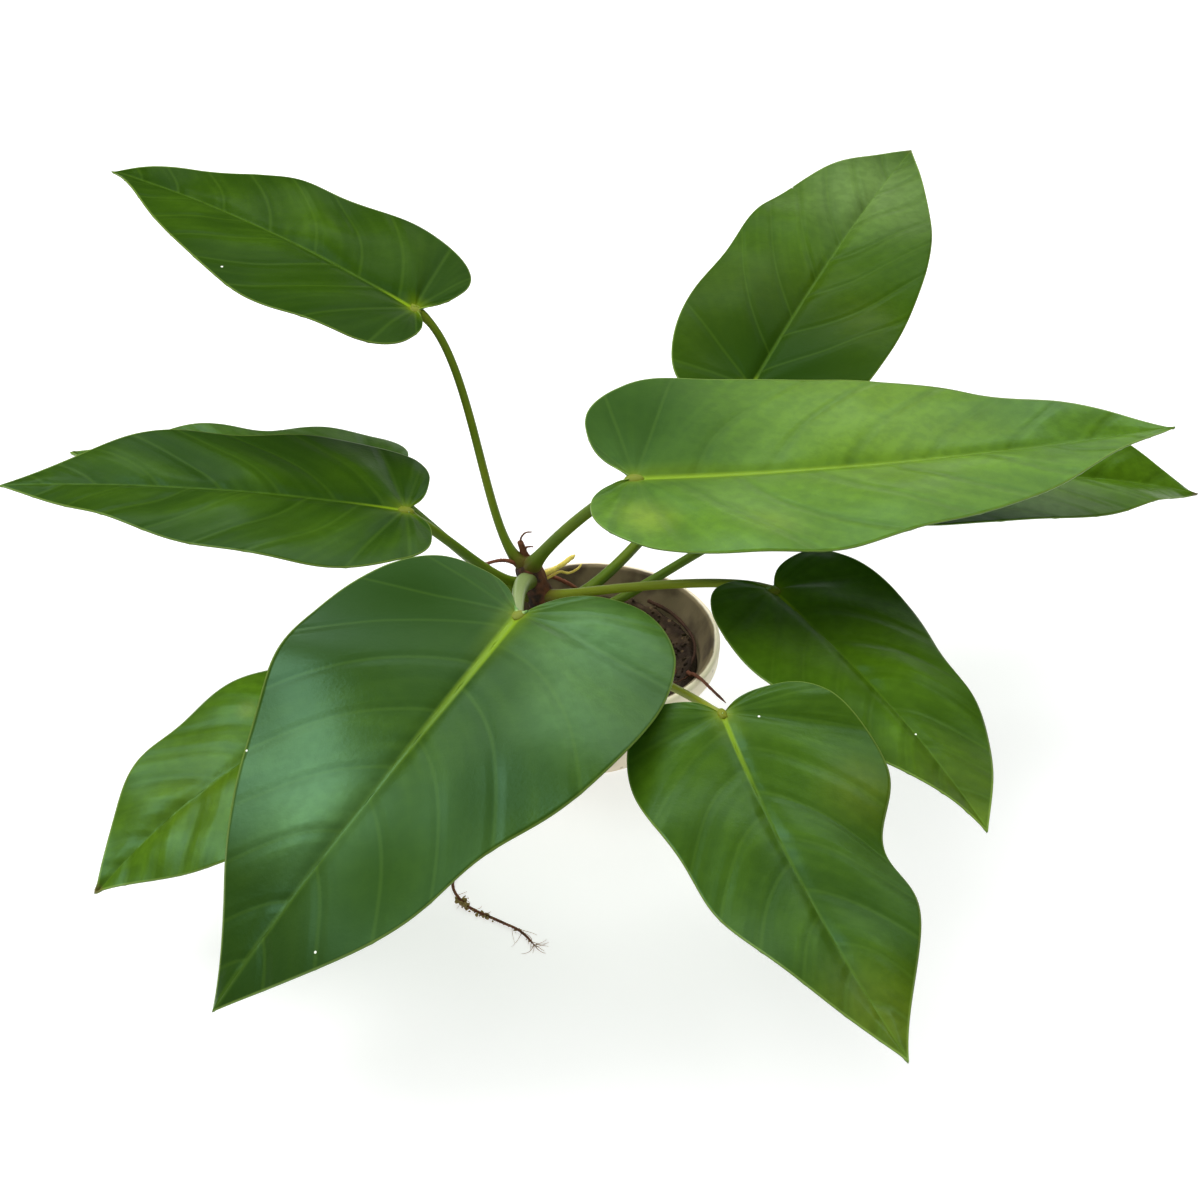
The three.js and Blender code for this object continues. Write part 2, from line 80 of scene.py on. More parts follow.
# Places of the ribs, from the blade's base round the lobe and the shoulder and along the flank to the tip
LOBE_END = 2.0
FAN_END = 5.0
TIP_PLACE = 12.0
# Rib places that carry a side vein, left and right of the midrib. Up to FAN_END they start at the base.
VEIN_PLACES = (
    (1.7, 3.1, 4.4, 6.0, 7.0, 8.0, 9.0, 10.0, 11.0),
    (1.5, 2.8, 4.1, 5.5, 6.5, 7.5, 8.5, 9.5, 10.5, 11.3),
)
SPINE_STEPS = 40
# Corners nearer than this are one, in metres
WELD = 1e-6
# Length of the blades' wide waves, in mm
WIDE_WAVE = 34
# Half width of the largest blade, in mm. Its midrib is the stoutest.
WIDEST_HALF = 62
# Each swell spans two gaps between side veins. It is full where they spread this far, and on ribs at least
# this long, in mm.
WIDE_SWELL = 26
FULL_RIB = 30
# How far the channel round the midrib reaches, in mm
CHANNEL_REACH = 2.6
# How far the band below the pot's rim stands out, in mm
BAND_PROUD = 1.2
# Turns of the drain slots round the pot in degrees, and their size in metres
DRAIN_TURNS = (69, 159, 249, 339)
DRAIN_SIZE = (0.024, 0.007, 0.010)
# Gap between the soil and the pot, in mm
SOIL_GAP = 0.3
# Steps along the root that has come out below the pot
DRAIN_STEPS = 60
# Crumbs on that root: where they gather and how widely, in shares of its length, how many they are, and how
# large the largest is, in mm
DRAIN_CRUMBS = ((0.66, 0.012, 26, 1.3), (0.71, 0.03, 40, 0.9), (0.85, 0.1, 60, 0.5))

# Blade patch colours: the two darkest greens are painted shade, the fresh green is painted light and the
# bluish green is a painted sheen. The pale green is painted light on the blades, but the underside veins' own
# colour.
PATCH_COLOURS = {
    "yellow": (0.15, 0.24, 0.008),
    "olive": (0.085, 0.12, 0.003),
    "tan": (0.17, 0.2, 0.01),
    "brown": (0.12, 0.07, 0.03),
    "white": (0.75, 0.78, 0.68),
    "pale": (0.24, 0.36, 0.13),
    "painted_shade": (0.012, 0.036, 0.0005),
    "matt_painted_shade": (0.02, 0.055, 0.0006),
    "painted_light": (0.07, 0.16, 0.006),
    "painted_sheen": (0.13, 0.28, 0.11),
}

# Name, place, size in metres, power in watts and whether gloss shows it, of each soft light. All are aimed
# at one point.
LIGHT_AIM = Vector((0, 0, 0.1))
STUDIO_LIGHTS = (
    ("sheen_panel", (-0.15, 1.38, 1.65), (1.7, 0.55), 7.5, True),
    ("left_panel", (-1.1, 0, 1.8), (1.3, 1.1), 20, True),
    ("right_panel", (0.98, 1.08, 1.46), (0.7, 0.5), 2.5, True),
    ("back_panel", (0.7, 1.9, 0.8), (1.3, 0.5), 2.5, True),
    ("top_panel", (-0.2, 0.5, 2.3), (3.2, 3.2), 96, False),
    ("front_panel", (-0.6, -2.0, 1.8), (2.4, 1.6), 13, False),
)


@dataclass
class Leaf:
    """One leaf, in millimetres and degrees. Pairs are left and right of the midrib, or base and tip."""
    name: str
    # The blade's base, the way the midrib heads seen from above, and how far it turns on its way to the tip
    at: tuple
    heading: float
    sweep: float
    # How steeply the midrib rises, how far the blade leans to one side, and how far its halves fold up
    rise: tuple
    roll: tuple
    fold: float
    length: float
    # Half width, and how far the lobe reaches back from the base
    half: tuple
    lobe: tuple
    # Where the half is widest in shares of the length, and how full it is from there to the tip
    belly: tuple
    full: tuple
    # How far the margin is drawn in at a waist, in shares of the width, and where, in shares of the length
    waist: tuple
    waist_at: tuple
    # The height at which the stalk leaves the stem, its radius, and the two points that pull its curve
    stalk_from: float
    stalk_radius: float
    bends: tuple
    # Looks: how light the green is from 0 to 1, its gloss, how far the bright part of the midrib reaches,
    # browning of the tip, and patches of another colour, among them painted shade, light and sheen, each as
    # place along and across in shares of the length, radius, strength and the name of its colour
    light: float = 0.3
    shine: float = 0.5
    rib: float = 0.3
    tip_brown: float = 0.0
    patches: tuple = ()
    # What the stalk's foot adds to its radius in mm, and how far up, in shares of its length
    clasp: tuple = (1.5, 0.12)
    # How much painted sheen pales the stalk's upper side, and how yellow the stalk is, from 0 to 1
    wax: float = 0.08
    yellow: float = 0.1


# Many of the blades' patches are painted shade, painted light or painted sheen, not the leaf's own colour.
LEAVES = (
    Leaf("back_left", at=(-65, 44, 164), heading=145, sweep=-2, rise=(13, -4), roll=(2, -5), fold=9,
         length=160, half=(43, 41), lobe=(13, 7), belly=(0.21, 0.2), full=(0.36, 0.58), waist=(0, 0.12),
         waist_at=(0.4, 0.44), stalk_from=74, stalk_radius=1.8, bends=((-41, 6, 79), (-43, 46, 154)),
         light=0, shine=0.06, rib=0.12, patches=((0.05, 0, 0.35, 0.6, "painted_shade"),), yellow=0.3),
    Leaf("left", at=(-67, -12, 112), heading=179, sweep=-1, rise=(10, -4), roll=(1, -5), fold=6, length=148,
         half=(42, 41), lobe=(11, 7), belly=(0.2, 0.22), full=(0.49, 0.88), waist=(0.04, 0.11),
         waist_at=(0.45, 0.43), stalk_from=68, stalk_radius=2.2, bends=((-33, -8, 69), (-52, -6, 99)),
         light=0.02, shine=0.2, rib=0.15),
    Leaf("left_under", at=(-84, 46, 89), heading=180, sweep=-8, rise=(2, 3), roll=(4, -6), fold=5,
         length=121, half=(36, 37), lobe=(15, 11), belly=(0.22, 0.22), full=(0.5, 0.66), waist=(0, 0.06),
         waist_at=(0.4, 0.4), stalk_from=60, stalk_radius=2, bends=((-38, 2, 65), (-66, 37, 79)), light=0.4,
         patches=((0.86, -0.12, 0.03, 0.7, "brown"),)),
    Leaf("front_left", at=(-24, -79, 114), heading=248, sweep=-32, rise=(4, -48), roll=(-5, -4), fold=8,
         length=171, half=(62, 57), lobe=(20, 16), belly=(0.16, 0.21), full=(0.8, 0.72),
         waist=(0.15, -0.05), waist_at=(0.52, 0.34), stalk_from=68, stalk_radius=2.2,
         bends=((-30, -4, 74), (-24, -48, 92)), light=0.11, shine=0.56, rib=0.45,
         patches=((0.05, -0.2, 0.3, 1, "matt_painted_shade"), (0.62, 0.14, 0.24, 0.8, "matt_painted_shade"),
                  (0.05, -0.2, 0.34, 0.85, "painted_shade"), (0.95, 0, 0.4, 0.8, "painted_shade"),
                  (0.25, -0.3, 0.3, 0.9, "painted_shade"), (0.42, 0.17, 0.18, 0.6, "painted_shade"),
                  (0.58, -0.12, 0.22, 0.35, "painted_sheen"), (0.02, 0.17, 0.2, 0.32, "painted_sheen"),
                  (0.22, 0.24, 0.16, 0.2, "painted_sheen")), clasp=(1.6, 0.4), wax=1.0),
    Leaf("front_left_under", at=(-90, -82, 74), heading=212, sweep=7, rise=(-5, -36), roll=(-3, -11),
         fold=5, length=99, half=(36, 33), lobe=(16, 16), belly=(0.24, 0.23), full=(0.9, 0.86),
         waist=(0.03, 0.06), waist_at=(0.4, 0.48), stalk_from=52, stalk_radius=1.8,
         bends=((-30, -14, 74), (-70, -63, 66)), light=0.5, shine=0.4, rib=0.1, tip_brown=0.7,
         patches=((0.23, -0.17, 0.06, 0.35, "tan"), (0.5, 0, 0.4, 0.25, "olive"))),
    Leaf("right", at=(16, -16, 128), heading=7, sweep=9, rise=(-2, 0), roll=(3, 0), fold=11, length=207,
         half=(56, 56), lobe=(15, 19), belly=(0.19, 0.18), full=(0.6, 0.55), waist=(0.08, 0.02),
         waist_at=(0.42, 0.42), stalk_from=72, stalk_radius=2.6, bends=((-16, 1, 89), (5, -7, 116)),
         light=0.8, shine=0.54, rib=0.75,
         patches=((0, -0.14, 0.08, 1, "yellow"), (0.2, -0.18, 0.07, 0.35, "yellow"),
                  (0, 0.16, 0.38, 0.8, "matt_painted_shade"), (0, 0.16, 0.3, 0.5, "painted_shade"),
                  (0.45, 0.1, 0.35, 0.35, "yellow"), (0.78, 0.1, 0.24, 0.3, "painted_shade")), wax=0.5),
    Leaf("back_right", at=(66, 106, 95), heading=63, sweep=0, rise=(17, 3), roll=(9, 3), fold=9, length=188,
         half=(44.5, 46), lobe=(14, 16), belly=(0.26, 0.25), full=(1.1, 0.74), waist=(0.05, 0),
         waist_at=(0.38, 0.4), stalk_from=54, stalk_radius=2.3, bends=((14, 9, 65), (47, 80, 77)),
         light=0.28, shine=0.1, rib=0.04, tip_brown=0.3,
         patches=((0.28, -0.15, 0.12, 0.15, "tan"), (0.15, 0, 0.4, 0.4, "olive"),
                  (0.08, -0.04, 0.55, 1, "painted_shade"), (0.75, 0, 0.3, 0.3, "pale"))),
    Leaf("right_under", at=(99, 32, 90), heading=8, sweep=6, rise=(8, -22), roll=(-6, 14), fold=14,
         length=151, half=(44, 41), lobe=(19, 19), belly=(0.24, 0.23), full=(0.71, 0.65), waist=(0, 0.03),
         waist_at=(0.4, 0.42), stalk_from=48, stalk_radius=2, bends=((17, -3, 61), (61, 35, 87)),
         light=0.48, shine=0.22, rib=0.3, tip_brown=0.8, patches=((0.4, -0.16, 0.3, 0.5, "pale"),)),
    Leaf("right_front", at=(66, -34, 92), heading=308, sweep=-20, rise=(-8, -3), roll=(0, -15), fold=5,
         length=131, half=(40, 34), lobe=(9, 11), belly=(0.17, 0.24), full=(0.81, 0.56), waist=(0.15, 0.03),
         waist_at=(0.43, 0.4), stalk_from=60, stalk_radius=1.9, bends=((-1, -9, 74), (62, -19, 90)),
         light=0.22, shine=0.16, rib=0.15,
         patches=((0.1, 0, 0.6, 0.6, "painted_light"), (0.95, 0, 0.08, 0.3, "yellow"),
                  (0.85, 0, 0.3, 0.25, "olive")), yellow=0.7),
    Leaf("front_right", at=(43, -119, 104), heading=286, sweep=9, rise=(-12, -8), roll=(3, -9), fold=1,
         length=136, half=(46, 37), lobe=(7, 8), belly=(0.19, 0.18), full=(0.71, 0.56), waist=(0.25, 0.09),
         waist_at=(0.46, 0.4), stalk_from=50, stalk_radius=1.6, bends=((-13, -32, 69), (38, -87, 87)),
         light=0.18, shine=0.36, rib=0.25,
         patches=((0.3, 0.24, 0.16, 0.5, "olive"), (0.9, 0, 0.25, 0.25, "tan")), wax=0, yellow=1.0),
)

# The stem's middle line, in mm
STEM_FOOT = Vector((-5, 1, 20))
STEM_CROWN = Vector((-25, 8, 76))
STEM_LINE = (STEM_FOOT, STEM_FOOT + Vector((-3, 1, 18)), STEM_CROWN + Vector((6, -2, -20)), STEM_CROWN)


@dataclass
class Root:
    """A root, in mm: its node, its radii at start and end, and its points. look names its material,
    and dull is how dark it is, from 0 to 1."""
    node: str
    look: str
    radii: tuple
    path: tuple
    dull: float = 0.0


ROOTS = (
    Root("root_aerial_left", "root", radii=(0.9, 0.5),
         path=((-25, 7, 72), (-31, 5.5, 77), (-35, 5, 77.5), (-40, 5, 76), (-44, 5, 74.5))),
    Root("root_aerial_yellow", "root_yellow", radii=(1.2, 0.9),
         path=((-22, 7, 68), (-16, 9, 69.5), (-12, 10, 71.5), (-6, 11, 76))),
    Root("root_aerial_thin", "root_yellow", radii=(0.6, 0.4),
         path=((-21, 7, 66), (-16, 9, 67), (-12, 10, 68.8), (-8.5, 10.5, 67.9), (-5, 11, 69.6),
               (-3.5, 11.5, 71.5))),
    Root("root_red", "root", radii=(0.9, 0.6),
         path=((-21, 7, 64), (-16, 12, 65), (-11, 13, 62.5), (-6, 13, 59), (0, 13, 51), (4, 14, 42),
               (6, 15, 36.2))),
    Root("root_rusty", "root", radii=(1, 0.6),
         path=((-15, 5, 50), (-17, 14, 47), (-16, 24, 42), (-12, 32, 37.5), (-6, 35.5, 36.9)), dull=0.5),
    Root("root_wall", "root", radii=(0.8, 0.5),
         path=((23, 33.5, 38), (31, 26.2, 38), (36.5, 17.5, 38), (40, 8, 38), (40.4, 0, 38),
               (38.6, -8.6, 38)), dull=0.8),
    Root("root_over_rim", "root", radii=(0.9, 0.5),
         path=((37.2, -13.5, 38.2), (38.3, -20.5, 42.5), (38.8, -25, 46.3), (41.5, -29.5, 47.3),
               (45, -33.5, 46), (50.4, -38.1, 43)), dull=0.2),
    Root("root_drain", "root", radii=(0.7, 0.45),
         path=((-6.6, -17.3, 3.4), (-8.6, -22.5, 2.2), (-12, -31, 1), (-22, -52, 1), (-40, -72, 1),
               (-50, -90, 1), (-45, -101, 1), (-34, -108.5, 1), (-24.8, -114.4, 1), (-19, -122, 1))),
)

# The dry stub of old sheaths at the crown, and two fibres that grow out of it. Each has its radii at start
# and end, and its points, in mm.
SHEATH_PARTS = (
    ((2.3, 1.1), ((-22.5, 8, 70), (-24, 9, 74), (-25.3, 9.5, 77.5), (-26.8, 9.5, 83.2))),
    ((0.45, 0.25), ((-26.4, 9.5, 81), (-26.4, 9.4, 85), (-24.6, 9, 87.6), (-22.3, 9, 88))),
    ((0.5, 0.25), ((-25.6, 9.5, 78), (-24.6, 9.3, 80.6), (-23.4, 9, 81.2), (-21.8, 9, 81.2))),
)


# Sizes and colours that a user would change


def length_value(name, description, millimetres):
    return FloatProperty(name=name, description=description, default=millimetres * MM, unit="LENGTH", min=0)


def angle_value(name, description, degrees):
    return FloatProperty(name=name, description=description, default=math.radians(degrees), unit="ROTATION")


def colour_value(name, description, colour):
    return FloatVectorProperty(name=name, description=description, default=colour, subtype="COLOR", size=3,
                               min=0, max=1)


class PlantBladeSettings(bpy.types.PropertyGroup):
    """Sizes and colours of the blades"""
    thickness: length_value("Thickness", "Thickness of a blade between its veins", 0.5)
    keel: length_value("Keel", "Thickness of a blade at the foot of its midrib", 2.2)
    curl: angle_value("Curl", "How far each half rolls down towards its margin", 10)
    ripple: length_value("Ripple", "Height of the waves along the margin", 1.2)
    quilt: length_value("Quilting", "Height of the blade's swells between its side veins", 1.3)
    swing: length_value("Swing", "Height of the blade's wide, uneven waves", 2.4)
    channel: length_value("Midrib channel", "Depth of the channel that the midrib lies in", 0.9)
    deep_green: colour_value("Deep green", "Colour of the darkest parts", (0.013, 0.038, 0.0006))
    fresh_green: colour_value("Fresh green", "Colour of the lightest parts", (0.092, 0.2, 0.005))
    rib_green: colour_value("Rib green", "Colour of the midrib near its foot", (0.17, 0.27, 0.003))
    vein_green: colour_value("Vein green", "Colour of the side veins", (0.08, 0.16, 0.012))
    margin_green: colour_value("Margin", "Colour of the thin line round the blade", (0.18, 0.27, 0.05))
    under_green: colour_value("Underside", "Colour of the lower face", (0.11, 0.24, 0.06))


class PlantStalkSettings(bpy.types.PropertyGroup):
    """Sizes and colours of the stalks"""
    neck: length_value("Neck", "Extra radius of the joint below the blade", 0.5)
    groove: FloatProperty(name="Groove", description="Depth of the groove along the upper side, in radii",
                          default=0.16, subtype="FACTOR", min=0, max=2)
    green: colour_value("Green", "Colour of a stalk", (0.048, 0.105, 0.002))
    # The pale colour is a painted sheen, laid on each stalk's upper side.
    pale: colour_value("Pale", "Colour of a stalk's waxy upper side", (0.2, 0.26, 0.1))
    yellow: colour_value("Yellow", "Colour of the yellower stalks", (0.16, 0.19, 0.006))
    joint: colour_value("Joint", "Colour of the joint with the blade", (0.14, 0.165, 0.014))
    foot_brown: colour_value("Foot", "Colour of a stalk's foot", (0.09, 0.045, 0.015))


class PlantStemSettings(bpy.types.PropertyGroup):
    """Sizes and colours of the stem and of what grows from it"""
    foot_radius: length_value("Foot radius", "Radius of the stem in the soil", 6.5)
    crown_radius: length_value("Crown radius", "Radius of the stem at its crown", 4.6)
    bark: colour_value("Bark", "Colour of the stem's bark", (0.12, 0.04, 0.016))
    bark_dark: colour_value("Dark bark", "Colour in the bark's cracks", (0.022, 0.011, 0.006))
    dry_brown: colour_value("Dry sheath", "Colour of the dry sheaths", (0.14, 0.055, 0.022))
    root_brown: colour_value("Root", "Colour of the roots", (0.17, 0.055, 0.026))
    root_yellow: colour_value("Young root", "Colour of the young roots", (0.82, 0.66, 0.12))
    root_hair: colour_value("Root hair", "Colour of the finest roots", (0.5, 0.34, 0.24))


class PlantPotSettings(bpy.types.PropertyGroup):
    """Sizes and colours of the pot and of its soil"""
    foot_radius: length_value("Foot radius", "Radius of the pot's underside", 29)
    wall: length_value("Wall", "Thickness of the pot's wall", 3.5)
    lip_band: length_value("Lip band", "Height of the proud band below the rim", 9)
    floor: length_value("Floor", "Thickness of the pot's floor", 4)
    facets: IntProperty(name="Facets", description="Facets round the pot", default=160, min=32)
    cream: colour_value("Cream", "Colour of the clean pot", (0.97, 0.85, 0.66))
    stain: colour_value("Stain", "Colour of the stains on the pot's inside", (0.175, 0.13, 0.062))
    grime: colour_value("Grime", "Colour of the darkest patches on the pot's inside", (0.06, 0.037, 0.015))
    soil_top: length_value("Soil height", "Height of the soil", 34)
    soil: colour_value("Soil", "Colour of moist soil", (0.026, 0.014, 0.008))
    soil_dry: colour_value("Dry soil", "Colour of dry crumbs and fibres", (0.17, 0.11, 0.055))
    crumb: colour_value("Lump", "Colour of the dried lump on the lower root", (0.3, 0.21, 0.075))
    crumbs: IntProperty(name="Crumbs", description="Loose crumbs on the soil", default=520, min=0)


class PlantStageSettings(bpy.types.PropertyGroup):
    """The floor, the lights and the camera"""
    camera_height: length_value("Camera height", "Height of the camera over the floor", 521.3)
    camera_back: length_value("Camera distance", "How far the camera stands in front of the pot", 631.2)
    camera_side: length_value("Camera side", "How far the camera stands to the right", 3.5)
    camera_tilt: angle_value("Camera tilt", "How far the camera looks down", 36)
    lens: FloatProperty(name="Lens", description="Focal length in mm on a 36 mm sensor", default=61.35,
                        unit="CAMERA", min=1)
    floor_tone: colour_value("Floor", "Colour of the floor", (0.5, 0.5, 0.505))


# Shapes


def lerp(first, second, share):
    return first + (second - first) * share


def ease(share):
    """0 to 1 with soft ends."""
    held = min(max(share, 0), 1)
    return held * held * (3 - 2 * held)


def bell(value, reach):
    """1 at zero, falling off over reach."""
    return math.exp(-((value / reach) ** 2))


def polar(radius, turn):
    return radius * math.cos(turn), radius * math.sin(turn)


def bezier(points, share):
    """A point of a cubic curve with four control points."""
    a, b, c, d = (Vector(point) for point in points)
    rest = 1 - share
    return a * rest ** 3 + b * (3 * rest * rest * share) + c * (3 * rest * share * share) + d * share ** 3


def bezier_line(points, steps):
    """Points all along such a curve."""
    return [bezier(points, step / steps) for step in range(steps + 1)]


def smooth_line(points, steps):
    """Points on a smooth curve that runs through all the given ones and bends little between close ones."""
    through = [Vector(point) for point in points]
    line = [through[0] * 2 - through[1], *through, through[-1] * 2 - through[-2]]
    made = []
    for step in range(steps + 1):
        along = step / steps * (len(through) - 1)
        start = min(int(along), len(through) - 2)
        before, near, far, after = line[start:start + 4]
        lead, span, tail = (math.sqrt(part.length) for part in (near - before, far - near, after - far))
        leave = (near - before) / lead - (far - before) / (lead + span) + (far - near) / span
        arrive = (far - near) / span - (after - near) / (span + tail) + (after - far) / tail
        curve = (near, near + leave * span / 3, far - arrive * span / 3, far)
        made.append(bezier(curve, along - start))
    return made


def add_sheet(bm, columns, rows, place):
    """Adds a grid and moves its corner (i, j) to place(i, j). Returns {corner: (i, j)}."""
    corners = bmesh.ops.create_grid(bm, x_segments=columns, y_segments=rows, size=1)["verts"]
    seats = {}
    for corner in corners:
        seats[corner] = (round((corner.co.x + 1) * columns / 2), round((corner.co.y + 1) * rows / 2))
    for corner, (i, j) in seats.items():
        corner.co = place(i, j)
    return seats


def frames_along(line):
    """For each point of a line, the two directions across it, without twist."""
    up = Vector((0, 0, 1))
    frames = []
    for step in range(len(line)):
        ahead = line[min(step + 1, len(line) - 1)] - line[max(step - 1, 0)]
        ahead.normalize()
        up = (up - ahead * up.dot(ahead)).normalized()
        frames.append((up.cross(ahead), up))
    return frames


def add_tube(bm, line, radius_at, sides):
    """Adds a closed tube along a line in mm. radius_at takes shares along it and round it."""
    frames = frames_along(line)
    last = len(line) - 1
    share_layer = bm.verts.layers.float.get("along") or bm.verts.layers.float.new("along")

    def place(i, j):
        step = min(max(i - 1, 0), last)
        side, above = frames[step]
        turn = j / sides % 1
        closed = i in (0, last + 2)
        radius = 0 if closed else radius_at(step / last, turn)
        angle = turn * math.tau
        return (line[step] + (side * math.cos(angle) - above * math.sin(angle)) * radius) * MM

    seats = add_sheet(bm, last + 2, sides, place)
    for corner, (i, j) in seats.items():
        corner[share_layer] = min(max(i - 1, 0), last) / last
    bmesh.ops.remove_doubles(bm, verts=list(seats), dist=WELD)


def mark(bm, **numbers):
    """Gives all corners the same numbers, by name, for a material to read."""
    for name, value in numbers.items():
        layer = bm.verts.layers.float.new(name)
        for corner in bm.verts:
            corner[layer] = value


def add_object(name, data):
    """A new object in the scene."""
    made = bpy.data.objects.new(name, data)
    bpy.context.scene.collection.objects.link(made)
    return made


def add_mesh(name, bm, materials=()):
    """A new object in the scene, with the mesh that bm holds. bm is used up."""
    mesh = bpy.data.meshes.new(name)
    bm.to_mesh(mesh)
    bm.free()
    for material in materials:
        mesh.materials.append(material)
    return add_object(name, mesh)


def finish_piece(name, bm, slot, nodes, materials):
    """Makes the object, attaches it to the body and hides the parts it stands in for."""
    piece = add_mesh(name, bm, materials)
    piece.data.shade_smooth()
    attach(piece, BODY)
    if nodes:
        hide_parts(*nodes)
    return piece


# Node trees of the materials


class Nodes:
    """Adds nodes to one tree. An input is a number, a colour, a vector, or the output of another node."""

    def __init__(self, tree):
        self.tree = tree

    def fill(self, node, inputs):
        """Gives a new node its place and its inputs, by socket name or number. Returns its outputs."""
        node.location = (180 * (len(self.tree.nodes) % 8), -220 * (len(self.tree.nodes) // 8))
        for key, value in inputs.items():
            if isinstance(value, bpy.types.NodeSocket):
                self.tree.links.new(value, node.inputs[key])
            else:
                node.inputs[key].default_value = value
        return node.outputs

    def add(self, kind, inputs=None, **settings):
        """Adds a shader node. settings are values of the node itself, such as its operation."""
        node = self.tree.nodes.new("ShaderNode" + kind)
        for key, value in settings.items():
            setattr(node, key, value)
        return self.fill(node, inputs or {})

    def maths(self, operation, first, second=0.0):
        return self.add("Math", {0: first, 1: second}, operation=operation)[0]

    def times(self, first, second):
        return self.maths("MULTIPLY", first, second)

    def plus(self, first, second):
        return self.maths("ADD", first, second)

    def ranged(self, value, low, high, to_low=0.0, to_high=1.0):
        """value moved softly from low..high to to_low..to_high, and held there."""
        inputs = {0: value, 1: low, 2: high, 3: to_low, 4: to_high}
        return self.add("MapRange", inputs, interpolation_type="SMOOTHSTEP")[0]

    def mixed(self, share, first, second):
        """The colour that lies share of the way from first to second."""
        ends = {6: first, 7: second}
        for key, end in ends.items():
            if not isinstance(end, bpy.types.NodeSocket):
                ends[key] = (*end, 1)
        return self.add("Mix", {0: share, **ends}, data_type="RGBA")[2]


def line_mask(nodes, given):
    """A soft line: 1 where Gap is under Width, 0 past Width and Blur."""
    edge = nodes.plus(given["Width"], given["Blur"])
    return nodes.ranged(given["Gap"], given["Width"], edge, 1.0, 0.0)


def grain_mask(nodes, given):
    """Soft noise."""
    inputs = {"Vector": given["Place"], "Scale": given["Scale"], "Detail": given["Detail"]}
    return nodes.add("TexNoise", inputs)["Fac"]


def mottle_mask(nodes, given):
    """Cloudy patches: 0 below Low and 1 above High of the soft noise."""
    return nodes.ranged(grain_mask(nodes, given), given["Low"], given["High"])


def patch_mask(nodes, given):
    """One round patch: 1 at Centre, fading to 0 at Radius."""
    reach = nodes.add("VectorMath", {0: given["Place"], 1: given["Centre"]}, operation="DISTANCE")["Value"]
    return nodes.ranged(reach, 0.0, given["Radius"], 1.0, 0.0)


def speck_mask(nodes, given):
    """Small scattered dots of the given Size; Share of the cells have one."""
    cells = nodes.add("TexVoronoi", {"Vector": given["Place"], "Scale": given["Scale"]})
    dot = nodes.maths("LESS_THAN", cells["Distance"], given["Size"])
    pick = nodes.add("SeparateColor", {0: cells["Color"]})[0]
    return nodes.times(dot, nodes.maths("LESS_THAN", pick, given["Share"]))


# What fills each shared node group, and the group's inputs with their defaults
GROUPS = {
    "Soft Line": (line_mask, {"Gap": 1.0, "Width": 0.5, "Blur": 0.5}),
    "Grain": (grain_mask, {"Place": (0, 0, 0), "Scale": 500.0, "Detail": 3.0}),
    "Mottle": (mottle_mask, {"Place": (0, 0, 0), "Scale": 20.0, "Detail": 3.0, "Low": 0.4, "High": 0.6}),
    "Patch": (patch_mask, {"Place": (0, 0, 0), "Centre": (0, 0, 0), "Radius": 0.1}),
    "Specks": (speck_mask, {"Place": (0, 0, 0), "Scale": 100.0, "Size": 0.1, "Share": 0.2}),
}


def shared_group(name):
    """One of the shared groups, made when first used."""
    group = bpy.data.node_groups.get(name)
    if group:
        return group
    group = bpy.data.node_groups.new(name, "ShaderNodeTree")
    fill_mask, inputs = GROUPS[name]
    for label, value in inputs.items():
        kind = "NodeSocketVector" if isinstance(value, tuple) else "NodeSocketFloat"
        group.interface.new_socket(label, in_out="INPUT", socket_type=kind).default_value = value
    group.interface.new_socket("Mask", in_out="OUTPUT", socket_type="NodeSocketFloat")
    mask = fill_mask(Nodes(group), group.nodes.new("NodeGroupInput").outputs)
    group.links.new(mask, group.nodes.new("NodeGroupOutput").inputs[0])
    return group


class Paint(Nodes):
    """A material with one principled shader, painted over a ground colour, layer on layer.

    fixed holds values for other inputs of the shader, by label, with _ for a space."""

    def __init__(self, name, ground, roughness=0.5, **fixed):
        self.material = bpy.data.materials.new(name)
        self.material.use_nodes = True
        super().__init__(self.material.node_tree)
        self.shader = self.tree.nodes["Principled BSDF"].inputs
        self.shader["Roughness"].default_value = roughness
        for label, value in fixed.items():
            self.shader[label.replace("_", " ")].default_value = value
        self.place = self.add("TexCoord")["Object"]
        self.colour = ground

    def effect(self, name, **values):
        """Places one of the shared groups. Values go to the inputs of the same names."""
        node = self.tree.nodes.new("ShaderNodeGroup")
        node.node_tree = shared_group(name)
        return self.fill(node, {label.capitalize(): value for label, value in values.items()})[0]

    def grain(self, **values):
        return self.effect("Grain", place=self.place, **values)

    def mottle(self, **values):
        return self.effect("Mottle", place=self.place, **values)

    def specks(self, **values):
        return self.effect("Specks", place=self.place, **values)

    def line(self, gap, width, blur):
        return self.effect("Soft Line", gap=gap, width=width, blur=blur)

    def surface(self, name):
        """A number that the mesh holds at its corners."""
        return self.add("Attribute", attribute_name=name)["Fac"]

    def surface_map(self, name):
        return self.add("UVMap", uv_map=name)["UV"]

    def tint(self, mask, colour, strength=None):
        """Lays one more colour over the last ones, as far as the mask and the strength say."""
        share = mask if strength is None else self.times(mask, strength)
        self.colour = self.mixed(share, self.colour, colour)

    def link(self, value, label):
        self.tree.links.new(value, self.shader[label])

    def done(self, relief=None, depth_mm=0.0):
        """Links the colour, and the relief if there is one. Returns the material."""
        self.link(self.colour, "Base Color")
        if relief is not None:
            inputs = {"Height": relief, "Distance": depth_mm * MM, "Strength": 1.0}
            self.link(self.add("Bump", inputs)[0], "Normal")
        return self.material


# Blades


